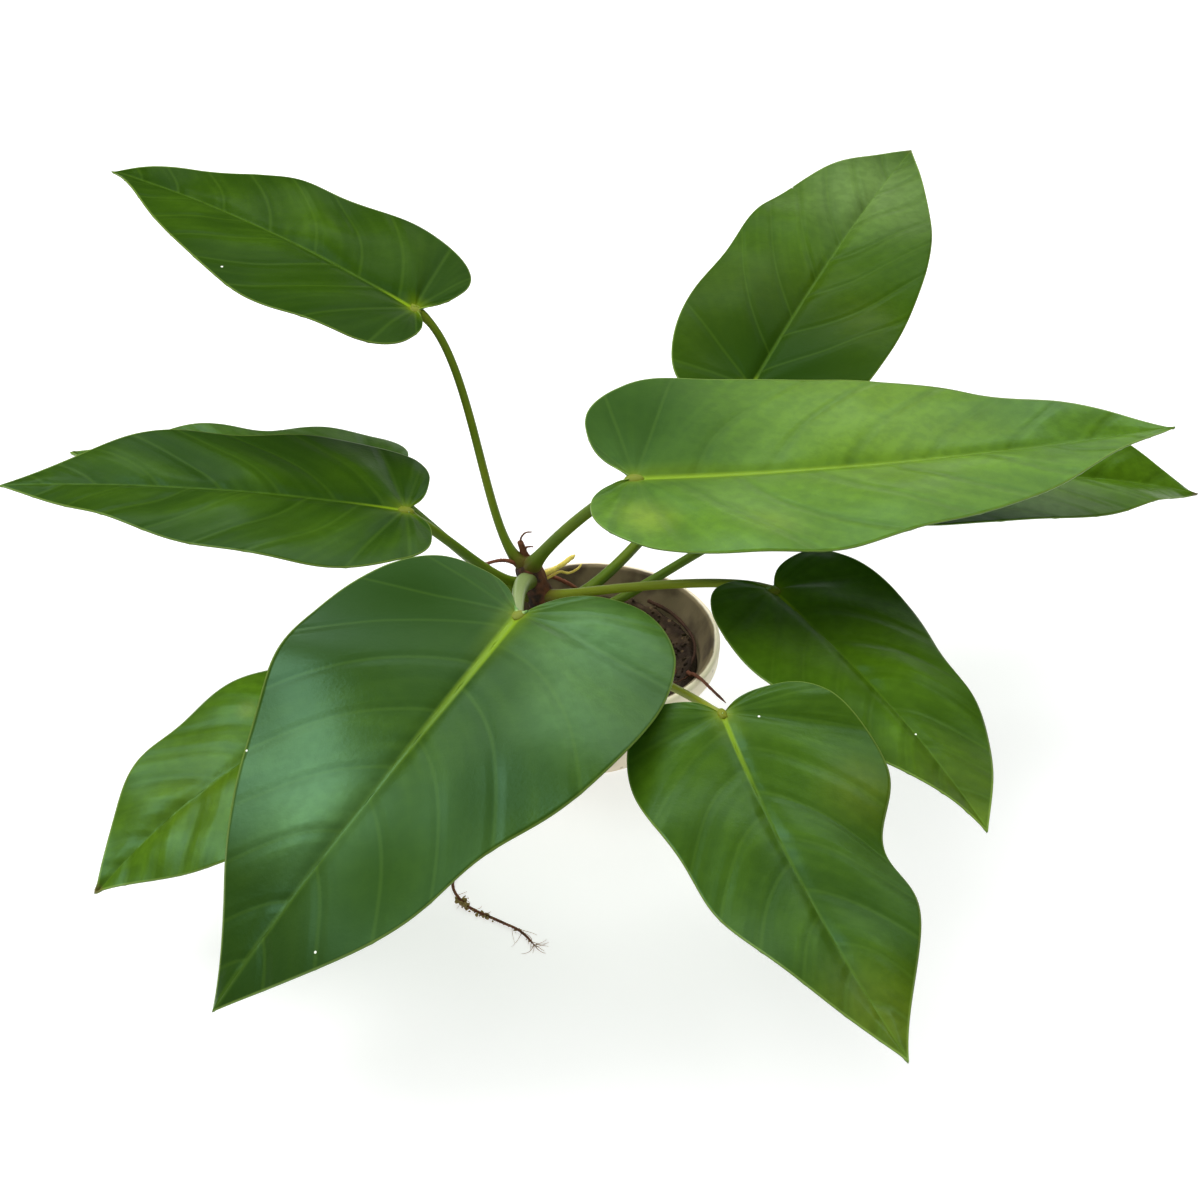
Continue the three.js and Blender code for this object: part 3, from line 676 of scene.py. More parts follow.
def margin_at(leaf, side, place):
    """The flat outline's point at a rib place: x along the midrib, y outwards, in mm. It has three curves,
    whose control points lie at shares of the lobe, the width and the length."""
    width = leaf.half[side]
    lobe = leaf.lobe[side]
    belly = leaf.belly[side] * leaf.length
    full = leaf.full[side]
    reach = leaf.length - belly
    back = (-lobe, 0.48 * width, 0)
    widest = (belly, width, 0)
    if place <= LOBE_END:
        share = place / LOBE_END
        point = bezier(((0, 0, 0), (-0.5 * lobe, 0.1 * width, 0), (-lobe, 0.16 * width, 0), back), share)
    elif place <= FAN_END:
        share = (place - LOBE_END) / (FAN_END - LOBE_END)
        turn = (belly - 0.55 * (belly + lobe), width, 0)
        point = bezier((back, (-lobe, 0.8 * width, 0), turn, widest), share)
    else:
        share = (place - FAN_END) / (TIP_PLACE - FAN_END)
        full_turn = (belly + (0.3 + 0.35 * full) * reach, width, 0)
        tip_turn = (leaf.length - 0.28 * reach, (0.18 + 0.3 * full) * width, 0)
        point = bezier((widest, full_turn, tip_turn, (leaf.length, 0, 0)), share)
    waist_reach = 0.13
    off = point.x / leaf.length - leaf.waist_at[side]
    point.y *= 1 - leaf.waist[side] * bell(off, waist_reach)
    return point


def root_share(place):
    """Where the rib at a place leaves the midrib, from 0 at the base to 1 at the tip. Near the base they
    leave it a little closer together."""
    return (max(place - FAN_END, 0) / (TIP_PLACE - FAN_END)) ** 1.15


def direction_at(leaf, share):
    """The way the midrib heads at a share of its length."""
    pitch = math.radians(lerp(*leaf.rise, share))
    turn = math.radians(leaf.heading + leaf.sweep * share)
    return Vector((*polar(math.cos(pitch), turn), math.sin(pitch)))


def frame_at(leaf, share):
    """Directions along the midrib, to its left, and out of the upper face."""
    along = direction_at(leaf, share)
    turn = math.radians(leaf.heading + leaf.sweep * share)
    roll = math.radians(lerp(*leaf.roll, share))
    level = Vector((-math.sin(turn), math.cos(turn), 0))
    above = along.cross(level)
    left = level * math.cos(roll) + above * math.sin(roll)
    up = above * math.cos(roll) - level * math.sin(roll)
    return along, left, up


def spine_of(leaf):
    """The midrib in space, from base to tip, in mm."""
    spine = [Vector(leaf.at)]
    for step in range(SPINE_STEPS):
        middle = (step + 0.5) / SPINE_STEPS
        spine.append(spine[-1] + direction_at(leaf, middle) * (leaf.length / SPINE_STEPS))
    return spine


def bend_point(leaf, spine, settings, x, y, across, lift):
    """Bends a flat point of the blade to its place in space, in mm. across runs from midrib to margin."""
    share = min(max(x / leaf.length, 0), 1)
    step = min(int(share * SPINE_STEPS), SPINE_STEPS - 1)
    point = spine[step].lerp(spine[step + 1], share * SPINE_STEPS - step)
    along, left, up = frame_at(leaf, share)
    width = leaf.half[0 if y >= 0 else 1]
    tilt = math.radians(leaf.fold) - settings.curl * abs(y) / width / 2
    ripples = 2.5
    wave = settings.ripple / MM * math.sin(ripples * math.tau * share + leaf.heading) * across ** 2
    point += along * min(x, 0) + left * (y * math.cos(tilt))
    return point + up * (abs(y) * math.sin(tilt) + wave + lift)


def rib_places():
    """Places of all the ribs of the fine mesh: every side vein lies on one."""
    first = 0.12
    per_place = 12
    fixed = sorted({first, *VEIN_PLACES[0], *VEIN_PLACES[1], TIP_PLACE})
    places = []
    for low, high in zip(fixed, fixed[1:]):
        steps = math.ceil((high - low) * per_place)
        places += [lerp(low, high, step / steps) for step in range(steps)]
    return places + [TIP_PLACE]


def across_shares():
    """Steps from the midrib to the margin: fine at both, wider between."""
    steps = 22
    rim = 0.978
    return [rim * (step / steps) ** 1.3 for step in range(steps + 1)] + [1.0]


def between_veins(places, vein_places):
    """For each rib, the numbers of the vein ribs before and after it and how far it lies between them."""
    vein_ribs = [places.index(place) for place in vein_places]
    found = []
    for rib, place in enumerate(places):
        before = max((vein for vein in vein_ribs if vein <= rib), default=None)
        after = min((vein for vein in vein_ribs if vein >= rib), default=None)
        if before is None:
            phase = lerp(0.5, 1, (place - places[0]) / (places[after] - places[0]))
        elif after is None:
            phase = 0.5 * (place - places[before]) / (TIP_PLACE - places[before])
        elif before == after:
            phase = 0
        else:
            phase = (place - places[before]) / (places[after] - places[before])
        found.append((before, after, phase))
    return found


def flat_grid(leaf, places, shares):
    """Flat points of both halves in mm, by side, rib and step across. Ribs bow as their veins do."""
    halves = []
    for side in (0, 1):
        rows = []
        for place in places:
            end = margin_at(leaf, side, place)
            root = root_share(place)
            bow = 0.05 * leaf.length * (1 - root) * ease(place - FAN_END)
            rows.append([
                (lerp(root * leaf.length, end.x, v) - bow * math.sin(math.pi * v), end.y * v) for v in shares
            ])
        halves.append(rows)
    return halves


def column_of(j, middle):
    """For a column of corners: its side, its step from the midrib, and the sign of its places across."""
    side = 0 if j >= middle else 1
    return side, abs(j - middle), 1 - 2 * side


def add_blade_maps(bm, leaf, seats, places, shares, halves):
    """Two UV maps: flat is in shares of the blade's length, ribs runs from rib to rib and along them."""
    flat_map = bm.loops.layers.uv.new("flat")
    rib_map = bm.loops.layers.uv.new("ribs")
    for face in bm.faces:
        for loop in face.loops:
            i, j = seats[loop.vert]
            side, step, sign = column_of(j, len(shares) - 1)
            x, y = halves[side][i][step]
            loop[flat_map].uv = (x / leaf.length, sign * y / leaf.length)
            loop[rib_map].uv = (places[i], sign * shares[step])


def thicken(piece, settings):
    """Gives a blade its body below the sheet, thickest where the keel group is full."""
    piece.vertex_groups.new(name="keel")
    shell = piece.modifiers.new("thickness", "SOLIDIFY")
    shell.thickness = settings.keel
    shell.thickness_vertex_group = settings.thickness / settings.keel
    shell.vertex_group = "keel"
    shell.offset = -1
    shell.material_offset = 1
    shell.material_offset_rim = 0


def make_blade(leaf, settings):
    """The blade as a fine sheet that swells between every second side vein, thickened by a modifier."""
    places = rib_places()
    shares = across_shares()
    veins = [between_veins(places, vein_places) for vein_places in VEIN_PLACES]
    swells = [between_veins(places, vein_places[::2]) for vein_places in VEIN_PLACES]
    halves = flat_grid(leaf, places, shares)
    spine = spine_of(leaf)
    middle = len(shares) - 1
    bm = bmesh.new()
    floats = bm.verts.layers.float
    layers = [floats.new(name) for name in ("along", "rib_gap", "vein_gap", "margin_gap", "swell")]
    keel = bm.verts.layers.deform.verify()
    values = {}

    def place_corner(i, j):
        side, step, sign = column_of(j, middle)
        rows = halves[side]
        x, y = rows[i][step]
        v = shares[step]
        gaps = [math.dist(rows[i][step], rows[vein][step]) for vein in veins[side][i][:2] if vein is not None]
        before, after, phase = swells[side][i]
        rib_length = math.dist(rows[i][0], rows[i][-1])
        share = min(max(x / leaf.length, 0), 1)
        # Each swell has its own height
        uneven = 1 + noise.noise(Vector((0.37 * (before or 0), 5 * side, leaf.heading)))
        spread = WIDE_SWELL if None in (before, after) else math.dist(rows[before][step], rows[after][step])
        narrow = min(rib_length / FULL_RIB, 1)
        size = narrow * math.sin(math.pi * v ** 0.85) * min(spread / WIDE_SWELL, 1) ** 2 * uneven
        swell = math.sin(math.pi * phase) ** 2 * size
        wide = noise.noise(Vector((x, sign * y, leaf.heading)) / WIDE_WAVE)
        lift = settings.quilt / MM * swell
        lift += settings.swing / MM * wide * min(2 * v, 1) * narrow
        lift -= settings.channel / MM * bell(y, CHANNEL_REACH) * (1 - share ** 2)
        lift += settings.thickness / MM / 2
        values[i, j] = (share, y, 0.8 * min(gaps), rib_length * (1 - v), swell)
        return bend_point(leaf, spine, settings, x, sign * y, v, lift) * MM

    seats = add_sheet(bm, len(places) - 1, 2 * middle, place_corner)
    for corner, seat in seats.items():
        for layer, value in zip(layers, values[seat]):
            corner[layer] = value
        # The keel under the midrib thins towards the tip, and the veins have a little more body too
        share, y, vein_gap = values[seat][:3]
        rib = bell(y, 1.6 - share) * (1 - 0.75 * share) * lerp(0.3, 1, ease(12 * share))
        corner[keel][0] = min(rib + 0.12 * bell(vein_gap, 0.7), 1)
    add_blade_maps(bm, leaf, seats, places, shares, halves)
    bmesh.ops.remove_doubles(bm, verts=bm.verts, dist=WELD)
    materials = [blade_upper_material(leaf, settings), blade_under_material(settings)]
    piece = finish_piece("leaf_" + leaf.name, bm, "blade", ["blade_" + leaf.name], materials)
    thicken(piece, settings)
    return piece


def blade_upper_material(leaf, settings):
    """Satin green, clouded, with painted light on the swells and painted shade in the valleys beside the side
    veins, faint veins, a midrib that is yellow-green at its foot, a thin pale margin, and patches, among them
    painted shade, painted light and painted sheen."""
    paint = Paint("blade_upper_" + leaf.name, settings.deep_green, IOR=1.45, Specular_IOR_Level=leaf.shine,
                  Specular_Tint=(0.45, 1, 0.72, 1))
    flat = paint.surface_map("flat")
    along = paint.surface("along")
    rib_gap = paint.surface("rib_gap")
    vein_gap = paint.surface("vein_gap")
    clouds = paint.mottle(scale=17.0, detail=3.0, low=0.34, high=0.68)
    tone_and_painted_light = paint.plus(paint.times(clouds, 0.15), leaf.light - 0.05)
    # Painted light: the swells between the side veins are lighter.
    tone_and_painted_light = paint.plus(tone_and_painted_light, paint.times(paint.surface("swell"), 0.16))
    paint.tint(tone_and_painted_light, settings.fresh_green)
    ribs = paint.add("Mapping", {"Vector": paint.surface_map("ribs"), "Scale": (3.4, 1.4, 1)})[0]
    streaks = paint.effect("Mottle", place=ribs, scale=1.0, detail=5.0, low=0.35, high=0.7)
    paint.tint(paint.ranged(streaks, 0.0, 1.0, 0.22, 0.0), settings.deep_green)
    paint.tint(streaks, settings.vein_green, strength=0.09)
    roughness = paint.ranged(clouds, 0.0, 1.0, 0.38, 0.29)
    # Some patches are painted shade, painted light or painted sheen; matt ones also raise the roughness.
    for centre_x, centre_y, radius, strength, tint in leaf.patches:
        spot = paint.effect("Patch", place=flat, centre=(centre_x, centre_y, 0), radius=radius)
        share = paint.times(spot, strength)
        paint.tint(share, PATCH_COLOURS[tint])
        if tint == "matt_painted_shade":
            roughness = paint.plus(roughness, paint.times(share, 0.5))
    fine = paint.mottle(scale=240.0, detail=5.0, low=0.35, high=0.65)
    paint.tint(fine, settings.deep_green, strength=0.22)
    # Painted shade: the valleys beside the side veins are darker; the same mask also sinks them in the bump.
    valley_shade_and_relief = paint.line(vein_gap, width=0.2, blur=3.2)
    paint.tint(valley_shade_and_relief, settings.deep_green, strength=0.2)
    paint.tint(paint.line(vein_gap, width=0.1, blur=0.9), settings.vein_green, strength=0.14)
    stout = (leaf.half[0] / WIDEST_HALF) ** 2
    rib = paint.line(rib_gap, width=paint.ranged(along, 0.0, 0.6, 0.6 * stout, 0.05), blur=1.7 * stout)
    paint.tint(rib, settings.vein_green, strength=0.3)
    bright = paint.ranged(along, 0.1 * leaf.rib, 1.2 * leaf.rib, 0.75, 0.0)
    paint.tint(rib, settings.rib_green, strength=bright)
    near_base = paint.ranged(along, 0.0, 0.5 * leaf.rib, 0.3, 0.0)
    paint.tint(paint.line(rib_gap, width=0.5, blur=8.0), settings.rib_green, strength=near_base)
    rim = paint.line(paint.surface("margin_gap"), width=0.25, blur=0.5)
    paint.tint(rim, settings.margin_green, strength=0.55)
    joint = paint.effect("Patch", place=flat, centre=(0, 0, 0), radius=4.5 / leaf.length)
    paint.tint(joint, PATCH_COLOURS["tan"], strength=0.6)
    paint.tint(paint.ranged(along, 0.965, 0.995, 0.0, leaf.tip_brown), PATCH_COLOURS["brown"])
    paint.tint(paint.specks(scale=110.0, size=0.05, share=0.04), PATCH_COLOURS["white"])
    paint.link(roughness, "Roughness")
    grain = paint.times(paint.grain(scale=700.0, detail=3.0), 0.6)
    return paint.done(paint.plus(paint.times(valley_shade_and_relief, -2.2), grain), depth_mm=0.1)


def blade_under_material(settings):
    """The paler, duller lower face, with its veins paler still. All blades share it."""
    found = bpy.data.materials.get("blade_under")
    if found:
        return found
    paint = Paint("blade_under", settings.under_green, 0.55)
    clouds = paint.mottle(scale=30.0, detail=3.0, low=0.35, high=0.65)
    paint.tint(clouds, settings.fresh_green, strength=0.35)
    for gap, width, strength in (("vein_gap", 0.4, 0.6), ("rib_gap", 1.1, 0.8)):
        line = paint.line(paint.surface(gap), width=width, blur=0.6)
        paint.tint(line, PATCH_COLOURS["pale"], strength=strength)
    return paint.done(paint.grain(scale=700.0, detail=3.0), depth_mm=0.08)


# Stalks


def stem_point(height):
    """The stem's middle at a height in mm."""
    return bezier(STEM_LINE, (height - STEM_FOOT.z) / (STEM_CROWN.z - STEM_FOOT.z))


def make_stalk(leaf, settings, material):
    """A stalk from the stem to its seat under the blade: clasping foot, groove above, swollen neck."""
    along, left, up = frame_at(leaf, 0)
    seat = Vector(leaf.at) + along * 2 - up * (0.55 * leaf.stalk_radius)
    curve = (stem_point(leaf.stalk_from), *leaf.bends, seat)
    line = bezier_line(curve, 56)

    def radius_at(share, turn):
        foot = leaf.clasp[0] * bell(share, leaf.clasp[1])
        neck = settings.neck / MM * bell(share - 0.96, 0.05)
        plain = leaf.stalk_radius * (1 - 0.15 * share) + foot + neck
        away_from_top = abs(turn - 0.75)
        groove = settings.groove * bell(away_from_top, 0.09) * ease(share / 0.1) * ease((0.97 - share) / 0.12)
        return plain * (1 - groove)

    bm = bmesh.new()
    add_tube(bm, line, radius_at, sides=24)
    pad = bmesh.ops.create_uvsphere(bm, u_segments=24, v_segments=14, radius=MM)["verts"]
    turned = Matrix((along, left, up)).transposed().to_4x4()
    size = Matrix.Diagonal((1.4 * leaf.stalk_radius, leaf.stalk_radius, 0.6 * leaf.stalk_radius, 1))
    shift = Matrix.Translation((Vector(leaf.at) - along * 0.3 - up * 0.6) * MM)
    bmesh.ops.transform(bm, matrix=shift @ turned @ size, verts=pad)
    for corner in pad:
        corner[bm.verts.layers.float["along"]] = 1
    mark(bm, wax=leaf.wax, yellow=leaf.yellow)
    return finish_piece("stalk_" + leaf.name, bm, "petiole", ["petiole_" + leaf.name], [material])


def stalk_material(settings):
    """Smooth green with yellower clouds, a painted sheen paling the upper side, yellow-green at the joint and
    brown at the foot.
    """
    paint = Paint("stalk", settings.green, 0.45, Specular_IOR_Level=0.15)
    along = paint.surface("along")
    above = paint.add("SeparateXYZ", {0: paint.add("NewGeometry")["Normal"]})["Z"]
    paint.tint(paint.surface("yellow"), settings.yellow)
    clouds = paint.mottle(scale=60.0, detail=3.0, low=0.35, high=0.65)
    paint.tint(clouds, settings.yellow, strength=0.25)
    # Painted sheen: the up-facing side is paler, as far as each stalk's number says.
    paint.tint(paint.ranged(above, 0.2, 0.9, 0.1, 0.8), settings.pale, strength=paint.surface("wax"))
    paint.tint(paint.ranged(along, 0.86, 0.97, 0.0, 0.3), settings.yellow)
    paint.tint(paint.ranged(along, 0.985, 1.0, 0.0, 0.8), settings.joint)
    paint.tint(paint.ranged(along, 0.03, 0.16, 0.75, 0.0), settings.foot_brown)
    return paint.done(paint.grain(scale=500.0, detail=3.0), depth_mm=0.08)


# Stem, sheaths and roots


def make_stem(settings):
    """The leaning stem with the rings of old leaves, a blunt crown and rough bark."""
    rings = 5

    def radius_at(share, turn):
        plain = lerp(settings.foot_radius, settings.crown_radius, share) / MM
        scar = 0.5 * abs(math.sin(share * rings * math.pi))
        blunt = lerp(1, 0.6, ease((share - 0.95) / 0.05))
        bark = noise.noise(Vector((*polar(3, turn * math.tau), share * 14)))
        return (plain + scar) * blunt + 0.45 * bark

    bm = bmesh.new()
    add_tube(bm, bezier_line(STEM_LINE, 90), radius_at, sides=48)
    paint = Paint("stem_bark", settings.bark_dark, 0.8)
    paint.tint(paint.mottle(scale=160.0, detail=6.0, low=0.4, high=0.6), settings.bark)
    fibres = paint.mottle(scale=420.0, detail=5.0, low=0.5, high=0.75)
    paint.tint(fibres, settings.dry_brown, strength=0.5)
    material = paint.done(paint.grain(scale=380.0, detail=6.0), depth_mm=0.8)
    return finish_piece("trunk", bm, "stem", ["stem"], [material])


def make_dry_sheath(settings):
    """The dry stub at the crown and its two fibres."""
    bm = bmesh.new()
    for radii, path in SHEATH_PARTS:
        seed = path[0][2]

        def radius_at(share, turn):
            torn = noise.noise(Vector((4 * math.cos(turn * math.tau), share * 9, seed)))
            return lerp(*radii, share) * (1 + 0.3 * torn)

        add_tube(bm, smooth_line(path, 30), radius_at, sides=14)
    paint = Paint("dry_sheath", settings.bark, 0.85)
    paint.tint(paint.mottle(scale=220.0, detail=5.0, low=0.4, high=0.65), settings.dry_brown)
    material = paint.done(paint.grain(scale=500.0, detail=4.0), depth_mm=0.5)
    return finish_piece("crown_sheath", bm, "dry_sheath", ["sheath_old"], [material])


def make_root(root, materials):
    """A root that runs through its points, knobbly and tapering to its tip."""
    seed = len(root.node)

    def radius_at(share, turn):
        angle = turn * math.tau
        knob = noise.noise(Vector((math.cos(angle), math.sin(angle) + seed, share * 6 * len(root.path))))
        return lerp(*root.radii, share) * (1 + 0.22 * knob) * lerp(1, 0.35, ease((share - 0.93) / 0.07))

    bm = bmesh.new()
    add_tube(bm, smooth_line(root.path, 14 * len(root.path)), radius_at, sides=12)
    mark(bm, dull=root.dull)
    piece_name = root.node.replace("root_", "rootlet_")
    return finish_piece(piece_name, bm, root.look, [root.node], [materials[root.look]])


def root_materials(settings):
    """Rough red-brown for old roots, smoother yellow for young ones, and pale for hairs, by name."""
    made = {}
    for look, light, dark, roughness, dulling in (
        ("root", settings.root_brown, settings.bark_dark, 0.8, 0.7),
        ("root_yellow", settings.root_yellow, settings.root_brown, 0.55, 0.3),
        ("root_hair", settings.root_hair, settings.root_brown, 0.7, 0.3),
    ):
        paint = Paint(look, light, roughness)
        clouds = paint.mottle(scale=180.0, detail=5.0, low=0.3, high=0.55)
        paint.tint(paint.maths("SUBTRACT", 1.0, clouds), dark, strength=dulling)
        paint.tint(paint.surface("dull"), dark)
        made[look] = paint.done(paint.grain(scale=600.0, detail=4.0), depth_mm=0.3)
    return made


def drain_line():
    """Points along the root that has come out below the pot."""
    drain = next(root for root in ROOTS if root.node == "root_drain")
    return smooth_line(drain.path, DRAIN_STEPS)


def tapering(radius):
    """The radius of a thread that is half as thick at its end."""
    return lambda share, turn: radius * (1 - 0.5 * share)


# Soil and pot


def pot_wall_radius(settings, height):
    """Radius of the pot's outside below its band, in mm."""
    top = POT_HIGH.z / MM
    return lerp(settings.foot_radius / MM, POT_HIGH.x / MM - BAND_PROUD, height / top)


def pot_inner_radius(settings, height):
    """Radius of the pot's inside, in mm."""
    wall = settings.wall / MM
    floor = settings.floor / MM
    share = (height - floor) / (POT_HIGH.z / MM - wall / 2 - floor)
    return lerp(pot_wall_radius(settings, floor) - wall, POT_HIGH.x / MM - wall, share)


def soil_height(settings, x, y):
    """Height of the soil in mm at a place in mm: a ridge at the wall, a low mound, and bumps."""
    top = settings.soil_top / MM
    share = math.hypot(x, y) / (pot_inner_radius(settings, top) - SOIL_GAP)
    ridge = 2.5 * bell(share - 0.93, 0.05)
    mound = 2 * bell(share, 0.35)
    bump = 0.7 * math.sin(x * 0.45) * math.cos(-y * 0.38 + 1)
    lumps = 0.9 * noise.fractal(Vector((x, y, 5)) * 0.22, 0.8, 2.1, 4)
    return top + ridge + mound + bump + lumps * ease((1 - share) / 0.05)


def make_soil(settings):
    """The body of soil with its lumpy top, and the crumbs that lie loose."""
    low = settings.floor / MM + SOIL_GAP
    top = settings.soil_top / MM
    low_radius = pot_inner_radius(settings, low) - SOIL_GAP
    top_radius = pot_inner_radius(settings, top) - SOIL_GAP
    rings = 64
    sectors = 180

    def place(i, j):
        turn = (j / sectors % 1) * math.tau
        if i < 2:
            return Vector((*polar(low_radius * i, turn), low)) * MM
        x, y = polar(top_radius * (1 - (i - 2) / rings), turn)
        return Vector((x, y, soil_height(settings, x, y))) * MM

    bm = bmesh.new()
    add_sheet(bm, rings + 2, sectors, place)
    bmesh.ops.remove_doubles(bm, verts=bm.verts, dist=WELD)
    bmesh.ops.recalc_face_normals(bm, faces=bm.faces)
    material = soil_material(settings)
    body = finish_piece("soil_body", bm, "soil", ["soil"], [material])
    make_crumbs(settings, top_radius, material)
    return body


def make_crumbs(settings, reach, material):
    """Crumbs that lie on the soil, and on the root that has come out below the pot."""
    draw = random.Random(7)
    bm = bmesh.new()
    dry_layer = bm.verts.layers.float.new("dry")

    def add_crumb(x, y, z, size, dry):
        crumb = bmesh.ops.create_icosphere(bm, subdivisions=1, radius=size * MM)["verts"]
        turn = Euler([draw.uniform(0, math.pi) for _ in range(3)]).to_matrix().to_4x4()
        squash = Matrix.Diagonal((1, draw.uniform(0.6, 1), draw.uniform(0.4, 0.8), 1))
        for corner in crumb:
            corner.co *= draw.uniform(0.75, 1.2)
            corner[dry_layer] = dry
        matrix = Matrix.Translation(Vector((x, y, z)) * MM) @ turn @ squash
        bmesh.ops.transform(bm, matrix=matrix, verts=crumb)
        sunk = min(corner.co.z for corner in crumb)
        bmesh.ops.translate(bm, verts=crumb, vec=(0, 0, max(-sunk, 0)))

    for _ in range(settings.crumbs):
        radius = reach * 0.97 * math.sqrt(draw.random())
        x, y = polar(radius, draw.uniform(0, math.tau))
        size = draw.uniform(0.35, 1.15)
        add_crumb(x, y, soil_height(settings, x, y) + 0.3 * size, size, 0)
    line = drain_line()
    for middle, spread, count, largest in DRAIN_CRUMBS:
        stray = 0.9 * largest
        for _ in range(count):
            share = min(max(draw.gauss(middle, spread), 0.55), 0.99)
            point = line[round(share * DRAIN_STEPS)]
            size = draw.uniform(0.3, 1) * largest
            height = 0.5 * size + abs(draw.gauss(0.2, 0.5)) * largest
            add_crumb(point.x + draw.gauss(0, stray), point.y + draw.gauss(0, stray), height, size, 1)
    return finish_piece("soil_crumbs", bm, "soil", [], [material])


def soil_material(settings):
    """Moist dark soil with lighter, drier crumbs."""
    paint = Paint("soil", settings.soil, 0.9)
    clouds = paint.mottle(scale=120.0, detail=6.0, low=0.42, high=0.7)
    paint.tint(clouds, settings.soil_dry, strength=0.3)
    paint.tint(paint.surface("dry"), settings.crumb)
    flecks = paint.specks(scale=420.0, size=0.3, share=0.12)
    paint.tint(flecks, settings.soil_dry, strength=0.6)
    return paint.done(paint.grain(scale=450.0, detail=6.0), depth_mm=1.0)


def make_soil_threads(settings, materials):
    """Fine roots that wander over the soil, mostly round the stem."""
    draw = random.Random(11)
    reach = pot_inner_radius(settings, settings.soil_top / MM) - 1.5
    threads = 30
    longest = 22
    stride = 1.3
    bm = bmesh.new()
    for _ in range(threads):
        turn = draw.uniform(0, math.tau)
        x, y = polar(draw.uniform(0.1, 0.9) * reach, turn)
        heading = turn + draw.gauss(1.3, 0.6)
        line = []
        for _ in range(longest):
            if math.hypot(x, y) > reach:
                break
            line.append(Vector((x, y, soil_height(settings, x, y) + 0.25)))
            heading += draw.gauss(0.06, 0.22)
            x += stride * math.cos(heading)
            y += stride * math.sin(heading)
        thick = draw.uniform(0.16, 0.42)
        if len(line) > 5:
            add_tube(bm, line, tapering(thick), sides=6)
    return finish_piece("soil_threads", bm, "root", [], [materials["root"]])


def make_root_hairs(materials):
    """Fine pale hairs on the root that has come out below the pot, most of them near its tip."""
    draw = random.Random(5)
    line = drain_line()
    tail = line[-1] - line[-6]
    hairs = 20
    height = 0.7
    stride = 0.9
    bm = bmesh.new()
    for _ in range(hairs):
        share = draw.choice((draw.uniform(0.6, 0.75), draw.uniform(0.85, 1), draw.uniform(0.93, 1)))
        start = line[round(share * DRAIN_STEPS)]
        heading = math.atan2(tail.y, tail.x) + draw.gauss(0, 0.8)
        bend = draw.gauss(0, 0.22)
        hair = [Vector((start.x, start.y, height))]
        for step in range(draw.randint(4, 9)):
            heading += bend
            hair.append(hair[-1] + Vector((*polar(1, heading), 0)) * stride)
            hair[-1].z = max(0.16, height - 0.18 * step)
        add_tube(bm, hair, tapering(draw.uniform(0.09, 0.16)), sides=5)
    return finish_piece("root_hairs", bm, "root", [], [materials["root_hair"]])


def make_pot(settings):
    """The pot, spun from its profile, with a round lip and drain slots cut at the edge of its floor."""
    rim = POT_HIGH.x / MM
    top = POT_HIGH.z / MM
    wall = settings.wall / MM
    foot = settings.foot_radius / MM
    floor = settings.floor / MM
    band_foot = top - settings.lip_band / MM
    lip = wall / 2
    lip_steps = 12
    # Radius and height of each corner of the profile, from the middle of the underside to that of the floor
    profile = [
        (0, 0), (foot - 0.8, 0), (foot - 0.2, 0.3), (foot + 0.05, 0.9),
        (pot_wall_radius(settings, band_foot - 0.5), band_foot - 0.5),
        (pot_wall_radius(settings, band_foot) + 0.3, band_foot),
        (rim - 0.5, band_foot + 1.2), (rim - 0.4, band_foot + 1.7),
    ]
    for step in range(lip_steps + 1):
        turn = math.pi * step / lip_steps
        profile.append((rim - lip + lip * math.cos(turn), top - lip + lip * math.sin(turn)))
    inner_foot = pot_wall_radius(settings, floor) - wall
    profile += [(inner_foot + 0.6, floor + 1), (inner_foot, floor + 0.3)]
    profile += [(inner_foot - 0.6, floor), (0, floor)]
    bm = bmesh.new()
    corners = [bm.verts.new(Vector((radius, 0, height)) * MM) for radius, height in profile]
    edges = [bm.edges.new(pair) for pair in zip(corners, corners[1:])]
    bmesh.ops.spin(bm, geom=corners + edges, axis=(0, 0, 1), cent=(0, 0, 0), angle=math.tau,
                   steps=settings.facets, use_merge=True)
    bmesh.ops.remove_doubles(bm, verts=bm.verts, dist=WELD)
    bmesh.ops.recalc_face_normals(bm, faces=bm.faces)
    slots = bmesh.new()
    for turn in DRAIN_TURNS:
        slot = bmesh.ops.create_cube(slots, size=1)["verts"]
        size = Matrix.Diagonal((*DRAIN_SIZE, 1))
        spin = Matrix.Rotation(math.radians(turn), 4, "Z")
        shift = Matrix.Translation((settings.foot_radius, 0, 0))
        bmesh.ops.transform(slots, matrix=spin @ shift @ size, verts=slot)
    cutter = add_mesh("drain_cutter", slots)
    piece = finish_piece("planter", bm, "pot", ["pot"], [pot_material(settings)])
    cut = piece.modifiers.new("drains", "BOOLEAN")
    cut.object = cutter
    cut.solver = "EXACT"
    whole = piece.evaluated_get(bpy.context.evaluated_depsgraph_get())
    mesh = bpy.data.meshes.new_from_object(whole)
    piece.modifiers.clear()
    piece.data = mesh
    mesh.set_sharp_from_angle(angle=math.radians(38))
    bpy.data.objects.remove(cutter)
    return piece


